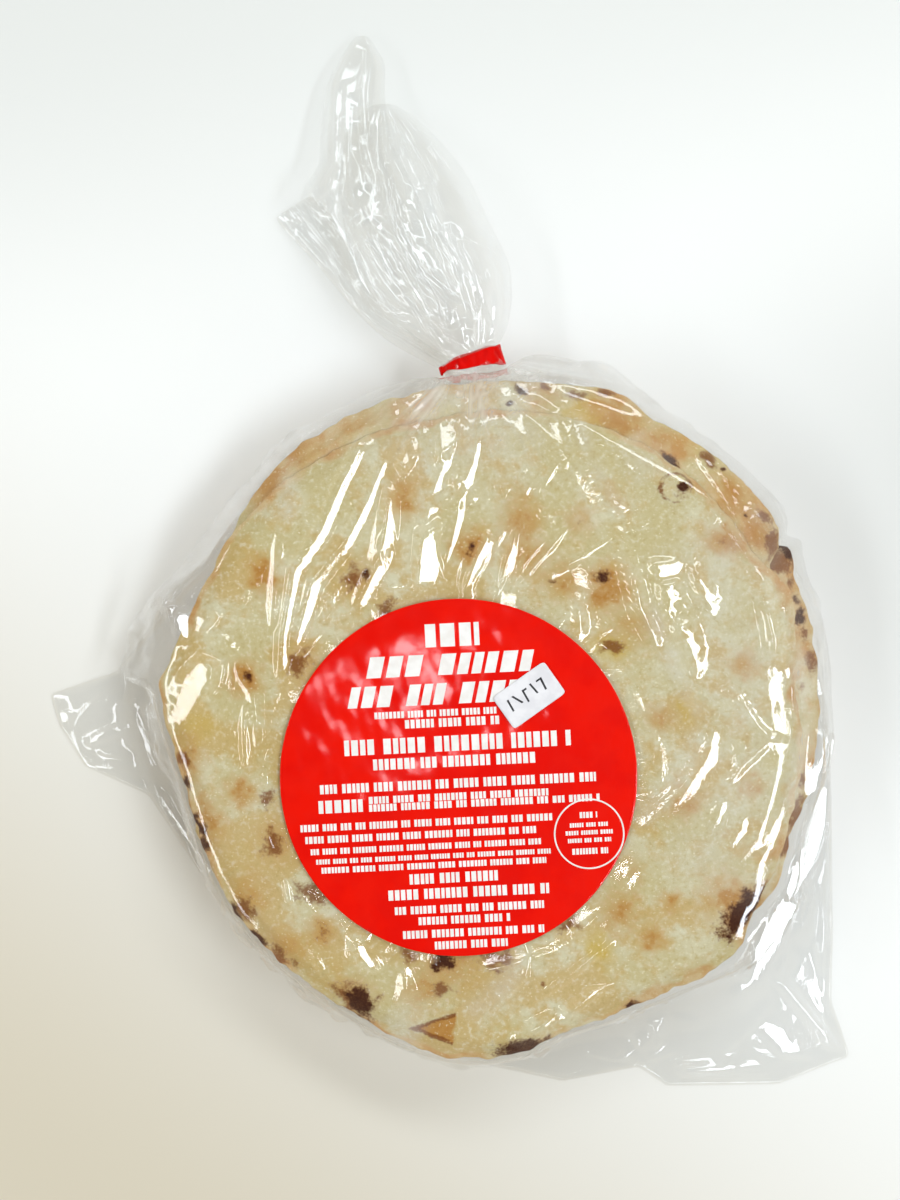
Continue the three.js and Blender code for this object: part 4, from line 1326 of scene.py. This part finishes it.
tailFolds = [
    (1.2, 6, 4, [(-34.1, 187.1), (-38.4, 179.2)]), (1.0, 3, 3, [(-39.1, 174.2), (-33.4, 176.5)]),
    (1.2, 5, 4, [(-38.7, 168.3), (-33.4, 169.6)]),
    (1.2, 3, 3, [(-28.8, 172.9), (-26.2, 163.0), (-21.5, 153.1), (-17.6, 139.2)]),
    (1.2, 3, 3, [(-24.2, 169.6), (-19.6, 160.3), (-14.3, 149.8), (-9.0, 131.9)]),
    (1.0, 2, 2, [(-22.9, 155.7), (-15.6, 146.5), (-15.3, 143.2)]),
    (1.0, 6, 6, [(-51.3, 152.4), (-46.0, 160.3), (-38.1, 161.7)]),
    (1.2, 3, 3, [(-24.8, 158.4), (-30.1, 151.1), (-31.5, 147.8)]),
    (1.2, 3, 3, [(-38.1, 144.5), (-30.8, 148.1), (-25.5, 142.5)]),
    (1.0, 2, 2, [(-26.8, 149.8), (-22.9, 147.8)]), (1.0, 2, 2, [(-43.4, 151.1), (-38.7, 157.0)]),
    (1.0, 3, 3, [(-33.4, 141.2), (-26.8, 136.5)]), (1.0, 5, 5, [(-44.0, 136.5), (-40.0, 135.9)]),
    (1.0, 2, 2, [(-31.1, 131.3), (-28.8, 127.3)]),
    (1.4, 3, 3, [(-17.6, 133.6), (-7.0, 126.0), (0.3, 120.0)]),
    (1.0, 2, 2, [(-32.8, 125.6), (-24.8, 119.0)]), (1.0, 2, 2, [(-30.1, 120.3), (-7.7, 120.3)]),
    (1.0, 3, 3, [(-5.0, 133.9), (-1.1, 139.8), (2.9, 134.6), (4.2, 126.6)]),
    (1.2, 3, 3, [(0.6, 147.1), (2.9, 136.5), (4.6, 124.6)]), (1.0, 2, 2, [(6.2, 116.7), (8.2, 123.3)]),
    (1.0, 2, 2, [(-16.9, 126.6), (-11.6, 122.7)]), (1.0, 2, 2, [(-18.2, 114.1), (-16.3, 110.1)]),
    (1.0, 2, 2, [(-9.0, 116.7), (-5.0, 118.0)]), (1.0, 2, 2, [(-3.7, 113.4), (0.3, 110.8)]),
    (1.0, 2, 2, [(0.3, 117.4), (2.9, 113.4)]),
]


def betweenRows(table, places):  # Catmull-Rom through rows of numbers, at places counted in rows
    table = np.asarray(table, float)
    last = len(table) - 1
    at = np.clip(np.floor(places).astype(int), 0, last - 1)
    t = (places - at)[:, None]
    return splineBetween(*(table[np.clip(at + step, 0, last)] for step in (-1, 0, 1, 2)), t)


def tailLayer(name):
    # ovals carried along the tail: middle + half width cos a, half thickness sin a, moved outwards
    # by pleats that run along the tail and by facets, both shallow at the tape
    stations, columns, rows, depth, seed = tail[name]
    table = [(*left, *right, height, thick) for left, right, height, thick in stations]
    line = betweenRows(table, np.linspace(0, len(table) - 1, rows))
    turn = np.linspace(0, fullTurn, columns, endpoint=False)
    middle = (line[:, 0:2] + line[:, 2:4]) / 2
    half = (line[:, 2:4] - line[:, 0:2]) / 2
    thick = np.maximum(line[:, 5:6] / 2, 0.4)
    width = np.hypot(half[:, 0], half[:, 1])[:, None]
    down = np.concatenate([[0], np.cumsum(np.hypot(*np.diff(middle, axis=0).T))])[:, None]
    spread = np.clip((width - 8) / (width.max() - 8), 0, 1)
    cosine = np.cos(turn)[None, :]
    sine = np.sin(turn)[None, :]
    pleatAround = cosine * 30 + sine * 14
    pleat = creases(pleatAround, down * 0.16, tailFilm["pleat"], seed, 7, (-0.3, 0.3))
    across = cosine * width + 70 * (sine > 0)
    edge = softStep(np.abs(sine), 0, 0.3)
    rough, wide, narrow = tailFilm["crumple"]
    crumple = facets(down, across, wide, seed + 50, 1.6, 0.3)
    crumple = crumple + 0.5 * facets(down, across, narrow, seed + 90, 1.4, 0.8)
    grow = pleat * depth * (0.2 + 0.5 * spread) + crumple * rough * edge * (0.25 + 0.75 * spread)
    grow = grow * softStep(width, *tailFilm["plainUpTo"])
    x = middle[:, 0:1] + (half[:, 0:1] / width) * (width + 0.25 * grow) * cosine
    y = middle[:, 1:2] + (half[:, 1:2] / width) * (width + 0.25 * grow) * cosine
    z = line[:, 4:5] + (thick + grow) * sine
    points = np.stack([x, y, z], -1)
    if name == "front":
        seenX, seenY = seenFromAbove(points)
        smooth = np.stack([x, y, line[:, 4:5] + thick * sine], -1)
        known, cover = foldHeights(seenX, seenY, gridLean(smooth), tailFolds)
        upper = softStep(sine, 0.05, 0.3)
        calm = line[:, 4:5] + (thick + grow * (1 - 0.8 * cover)) * sine
        points[..., 2] = z + (calm - z) * upper + known * upper
    points[..., 2] = np.maximum(points[..., 2], film["lift"] + 0.2)
    rings = points[:, ::-1]
    everywhere, atTape, far = tailFilm["veil"]
    veil = everywhere + atTape * np.exp(-(down / far) ** 2) + 0 * turn
    return loft(f"tail_{name}", rings, rings[0].mean(0), rings[-1].mean(0), {"veil": veil})


for name in tail:
    finished(tailLayer(name), filmFinish, "bag")


tape = {
    "columns": 160,
    "middle": (-2.2, 109.2, 25.6),
    "turn": 15,         # degrees
    "halfLength": 9.2,  # of the oval
    "halfHeight": 5.7,
    "thickness": 0.5,
    "upper": 1.8,       # edges of the strip, up and down the neck
    "lower": -2.1,
    "flare": 1.1,       # the strip is wider at its right
    "waver": 0.25,      # unevenness of its edges
    "crinkle": (0.35, 2.6),  # depth, size
    "slant": 2.3,       # the lower half sits further up the neck
}


def tapeMaterial():  # red by patches, satin, faintly crinkled
    m = Finish("redTape")
    where = m.spot()
    patch = m.noise(where, 180, 3)
    grain = m.noise(where, 1500, 2)
    tone = m.blend(linear(208, 3, 0), linear(226, 8, 0), m.step(patch, 0.4, 0.65))
    shader = m.node("BsdfPrincipled", None, {
        "Base Color": tone,
        "Roughness": 0.4 + patch * 0.15,
        "Specular IOR Level": 0.06,
        "Normal": m.bump(patch * 0.8 + grain * 0.2, 0.0004, 0.6),
    })
    return m.surface(shader)


def tapeBand():
    # oval round the neck: (a cos t, b sin t), with a strip's cross-section carried round it
    turn = np.linspace(0, fullTurn, tape["columns"], endpoint=False)
    shares = np.linspace(0, 1, 13)
    section = np.array([(1, share) for share in shares] + [(0, share) for share in shares[::-3]])
    strip = turn * 9
    flare = tape["flare"] * np.cos(turn)
    lower = tape["lower"] - flare + tape["waver"] * waves(strip, 0 * turn, 7, 501)
    upper = tape["upper"] + flare + tape["waver"] * waves(strip, 0 * turn, 6, 502)
    up = lower + (upper - lower) * section[:, 1:] + tape["slant"] * np.clip(-np.sin(turn), 0, 1)
    depth, size = tape["crinkle"]
    out = section[:, :1] * tape["thickness"]
    out = out + depth * facets(strip + 0 * up, up, size, 503, 0.6)
    x, y = turned((tape["halfLength"] + out) * np.cos(turn), up, tape["turn"])
    z = (tape["halfHeight"] + out) * np.sin(turn)
    grid = tape["middle"] + np.stack([x, y, z], -1)
    return ringMesh("tape_band", grid[:, ::-1])


finished(tapeBand(), tapeMaterial(), "neck_tape")


label = {
    "columns": 240,
    "rows": 45,
    "lift": 0.25,          # over the film
    "thickness": 0.25,
    "wave": (0.12, 34),    # slow waves: height, size
    "ripple": (0.024, 6),  # fine waves that break up the gloss
    "roundedEdge": 0.06,
    "printLift": 0.07,
    "printSink": 0.02,     # how far the print reaches into the paper
    "rowTilt": 2.8,        # degrees
    "pitch": (0.7, 1.15),  # from block to block, over the width that the row names
    "block": 0.74,         # width of a block over its pitch
    "groups": (3, 9),      # blocks in a group
    "gap": 0.75,           # between groups, over the same width
}


def labelHeight(x, y):  # the label's upper side: slow waves and fine ripples on a flat disc
    wave, waveSize = label["wave"]
    ripple, rippleSize = label["ripple"]
    uneven = wave * waves(x, y, waveSize, 601, 6) + ripple * waves(x, y, rippleSize, 602)
    return film["top"] + label["lift"] + label["thickness"] + uneven


def labelDisc():
    # disc of rings about its middle, top and underside joined by a thin edge
    turn = np.linspace(0, fullTurn, label["columns"], endpoint=False)
    shares = np.concatenate([np.linspace(0, 0.985, label["rows"] + 1)[1:], [0.996, 1.0]])[:, None]
    x = labelMiddle[0] + labelRadius * shares * np.cos(turn)
    y = labelMiddle[1] + labelRadius * shares * np.sin(turn)
    top = labelHeight(x, y)
    drop = label["roundedEdge"] * (shares == 1)
    upperSide = np.stack([x, y, top - drop], -1)
    underSide = np.stack([x, y, top - label["thickness"] + drop], -1)
    rings = np.concatenate([underSide, upperSide[::-1]])
    height = float(labelHeight(*labelMiddle))
    lowest = [*labelMiddle, height - label["thickness"]]
    return loft("label_disc", rings, lowest, [*labelMiddle, height])


def labelMaterial():  # red paper under a clear coat that is thicker in smears
    m = Finish("glossyRedPaper")
    where = m.spot()
    patch = m.noise(where, 90, 3)
    ripple = m.noise(where, 330, 3, 0.55)
    grain = m.noise(where, 1900, 2)
    smears = m.step(m.noise(where, 150, 3, 0.6), 0.42, 0.6)
    tone = m.blend(linear(230, 12, 0), linear(238, 18, 0), m.step(patch, 0.35, 0.65))
    shader = m.node("BsdfPrincipled", None, {
        "Base Color": tone,
        "Roughness": 0.5,
        "Specular IOR Level": 0.05,
        "Coat Weight": 0.16 + smears * 0.5,
        "Coat Roughness": 0.08,
        "Normal": m.bump(ripple * 0.8 + grain * 0.2, 0.0003, 0.5),
    })
    return m.surface(shader)


def inkMaterial(name, dark, light, roughness):  # dark to light by patches, with a fine grain
    m = Finish(name)
    where = m.spot()
    patch = m.noise(where, 260, 3)
    grain = m.noise(where, 2600, 2)
    shader = m.node("BsdfPrincipled", None, {
        "Base Color": m.blend(dark, light, m.step(patch, 0.35, 0.65)),
        "Roughness": roughness + grain * 0.1,
        "Normal": m.bump(grain, 0.0001, 0.3),
    })
    return m.surface(shader)


# rows of print: how far above the label's middle, from where to where, height, block width, slant
printRows = [
    (40.6, -8.1, 8.1, 6.6, 5.0, 0.0),
    (32.3, -24.9, 23.5, 6.0, 5.0, 0.25),
    (24.0, -30.3, 20.4, 6.0, 4.6, 0.25),
    (18.6, -23.2, 11.8, 1.9, 1.1, 0.0),
    (15.8, -14.7, 12.9, 2.4, 1.5, 0.0),
    (9.8, -32.3, 32.6, 4.4, 2.6, 0.0),
    (4.7, -24.3, 23.5, 3.1, 1.8, 0.0),
    (-1.6, -39.7, 39.1, 2.6, 1.5, 0.0),
    (-5.3, -26.0, 26.0, 2.0, 1.3, 0.0),
    (-7.5, -26.0, 40.3, 2.0, 1.3, 0.0),
    (-12.4, -45.7, 26.2, 2.0, 1.2, 0.0),
    (-15.8, -44.5, 21.5, 2.0, 1.2, 0.0),
    (-19.2, -43.1, 22.6, 1.7, 1.0, 0.0),
    (-22.1, -41.7, 25.2, 1.4, 0.9, 0.0),
    (-24.6, -40.3, 23.8, 1.7, 1.1, 0.0),
    (-28.3, -15.5, 10.1, 2.9, 1.7, 0.0),
    (-32.6, -21.8, 24.3, 2.9, 1.7, 0.0),
    (-37.1, -20.1, 22.6, 2.2, 1.3, 0.0),
    (-40.3, -13.5, 13.2, 2.2, 1.3, 0.0),
    (-44.0, -18.1, 22.3, 2.2, 1.3, 0.0),
    (-47.4, -9.2, 11.8, 2.2, 1.3, 0.0),
]
boldRow = (-6.6, -40.4, -27.3, 3.6, 2.3, 0.0)
seal = {"columns": 120, "middle": (36.3, -17.8), "radius": 9.6, "line": 0.45}
sealRows = [  # about the ring's middle
    (5.4, -2.6, 2.6, 1.7, 1.0, 0.0), (2.6, -5.5, 5.5, 1.2, 0.8, 0.0), (0.4, -6.8, 6.8, 1.2, 0.8, 0.0),
    (-1.8, -6.2, 6.2, 1.2, 0.8, 0.0), (-4.9, -5.2, 5.2, 1.7, 1.0, 0.0),
]


def blocksOfRow(row, seed, shift=(0, 0)):
    # a row of upright blocks in groups of random length: x, y, width, height, slant
    height, start, stop, tall, wide, slant = row
    draw = np.random.default_rng(seed)
    at = start
    blocks = []
    left = draw.integers(*label["groups"])
    while at < stop - 0.4 * wide:
        pitch = min(wide * draw.uniform(*label["pitch"]), stop - at)
        block = (at + pitch / 2 + shift[0], height + shift[1], pitch * label["block"], tall, slant)
        blocks.append(block)
        at += pitch
        left -= 1
        if left == 0:
            at += wide * label["gap"]
            left = draw.integers(*label["groups"])
    return blocks


def blockMesh(name, blocks, heightOf, lift, turn, middle):
    # each block is a low box whose corners follow the surface under it, turned with its row
    boxes = np.array(blocks)
    cornerX = np.array([-0.5, 0.5, 0.5, -0.5])
    cornerY = np.array([-0.5, -0.5, 0.5, 0.5])
    localX = boxes[:, 0:1] + boxes[:, 2:3] * cornerX + boxes[:, 4:5] * boxes[:, 3:4] * cornerY
    localY = boxes[:, 1:2] + boxes[:, 3:4] * cornerY
    x, y = turned(localX, localY, turn)
    x = x + middle[0]
    y = y + middle[1]
    z = heightOf(x, y)
    lower = np.stack([x, y, z - label["printSink"]], -1)
    points = np.concatenate([lower, np.stack([x, y, z + lift], -1)], 1)
    box = np.array([(0, 3, 2, 1), (4, 5, 6, 7), (0, 1, 5, 4), (1, 2, 6, 5), (2, 3, 7, 6), (3, 0, 4, 7)])
    faces = (np.arange(len(boxes))[:, None, None] * 8 + box).reshape(-1, 4)
    return meshPiece(name, points.reshape(-1, 3), faces.tolist(), smooth=False)


def sealRing():  # a flat ring: rectangle of line width by print height carried round a circle
    turn = np.linspace(0, fullTurn, seal["columns"], endpoint=False)
    middle = labelMiddle + turned(*seal["middle"], label["rowTilt"])
    radius = seal["radius"] + seal["line"] * np.array([0, 1, 1, 0])[:, None]
    lift = np.array([-label["printSink"]] * 2 + [label["printLift"]] * 2)[:, None]
    x = middle[0] + radius * np.cos(turn)
    y = middle[1] + radius * np.sin(turn)
    grid = np.stack([x, y, labelHeight(x, y) + lift], -1)
    return ringMesh("label_seal", grid)


def labelPrint():  # every row of blocks in one piece
    blocks = []
    for seed, row in enumerate(printRows + [boldRow]):
        blocks += blocksOfRow(row, 700 + seed)
    for seed, row in enumerate(sealRows):
        blocks += blocksOfRow(row, 740 + seed, seal["middle"])
    return blockMesh("label_print", blocks, labelHeight, label["printLift"], label["rowTilt"], labelMiddle)


whiteInk = inkMaterial("whiteInk", linear(240, 236, 232), linear(250, 248, 246), 0.4)
finished(labelDisc(), labelMaterial(), "label")
finished(labelPrint(), whiteInk, "label")
finished(sealRing(), whiteInk, "label")


sticker = {
    "columns": 120,
    "rings": 15,
    "middle": (13.9, 11.4),
    "length": 18,
    "width": 11,
    "turn": 35.4,        # degrees
    "roundness": 0.14,   # 0 is a sharp rectangle, 1 an oval
    "thickness": 0.15,
    "lift": 0.35,        # over the label
    "curl": 0.5,         # how far its ends stand up
    "wave": (0.05, 8),   # height, size
    "strokeLift": 0.04,
}


def stickerHeight(x, y):  # lies on the label, its far corners a little up
    along, across = turned(x - sticker["middle"][0], y - sticker["middle"][1], -sticker["turn"])
    along = 2 * along / sticker["length"]
    across = 2 * across / sticker["width"]
    curl = sticker["curl"] * np.abs(along) ** 4 * (0.4 + 0.6 * np.clip(across * along, 0, 1))
    wave, size = sticker["wave"]
    base = film["top"] + label["lift"] + label["thickness"] + sticker["lift"]
    return base + curl + wave * waves(x, y, size, 801, 5)


def stickerSheet():
    # rings of one rounded rectangle (a |cos t|^p, b |sin t|^p), shrinking to its middle, on both sides
    turn = np.linspace(0, fullTurn, sticker["columns"], endpoint=False)
    edge = [
        half * np.sign(wave) * np.abs(wave) ** sticker["roundness"]
        for half, wave in ((sticker["length"] / 2, np.cos(turn)), (sticker["width"] / 2, np.sin(turn)))
    ]
    edgeX, edgeY = turned(*edge, sticker["turn"])
    shares = np.linspace(0, 1, sticker["rings"] + 1)[1:, None]
    x = sticker["middle"][0] + shares * edgeX
    y = sticker["middle"][1] + shares * edgeY
    z = stickerHeight(x, y)
    underSide = np.stack([x, y, z - sticker["thickness"]], -1)
    rings = np.concatenate([underSide, np.stack([x, y, z], -1)[::-1]])
    height = float(stickerHeight(*sticker["middle"]))
    lowest = [*sticker["middle"], height - sticker["thickness"]]
    return loft("sticker_sheet", rings, lowest, [*sticker["middle"], height])


strokes = [  # plain price strokes: x, y, width, height, slant
    (-6.0, 0.6, 0.55, 3.6, 0.1), (-3.4, 0.9, 0.6, 3.2, -0.45), (-0.9, 0.4, 0.55, 3.8, 0.1),
    (-0.2, 2.0, 1.4, 0.5, 0.2), (2.2, 0.8, 0.55, 3.4, -0.1), (5.2, 0.4, 0.6, 3.7, 0.15),
    (4.6, 2.0, 1.5, 0.5, 0.2),
]

paper = inkMaterial("stickerPaper", linear(228, 227, 232), linear(240, 239, 243), 0.55)
blackInk = inkMaterial("blackInk", linear(30, 28, 34), linear(46, 44, 50), 0.5)
finished(stickerSheet(), paper, "price_sticker")
price = blockMesh(
    "sticker_marks", strokes, stickerHeight, sticker["strokeLift"], sticker["turn"], sticker["middle"],
)
finished(price, blackInk, "price_sticker")
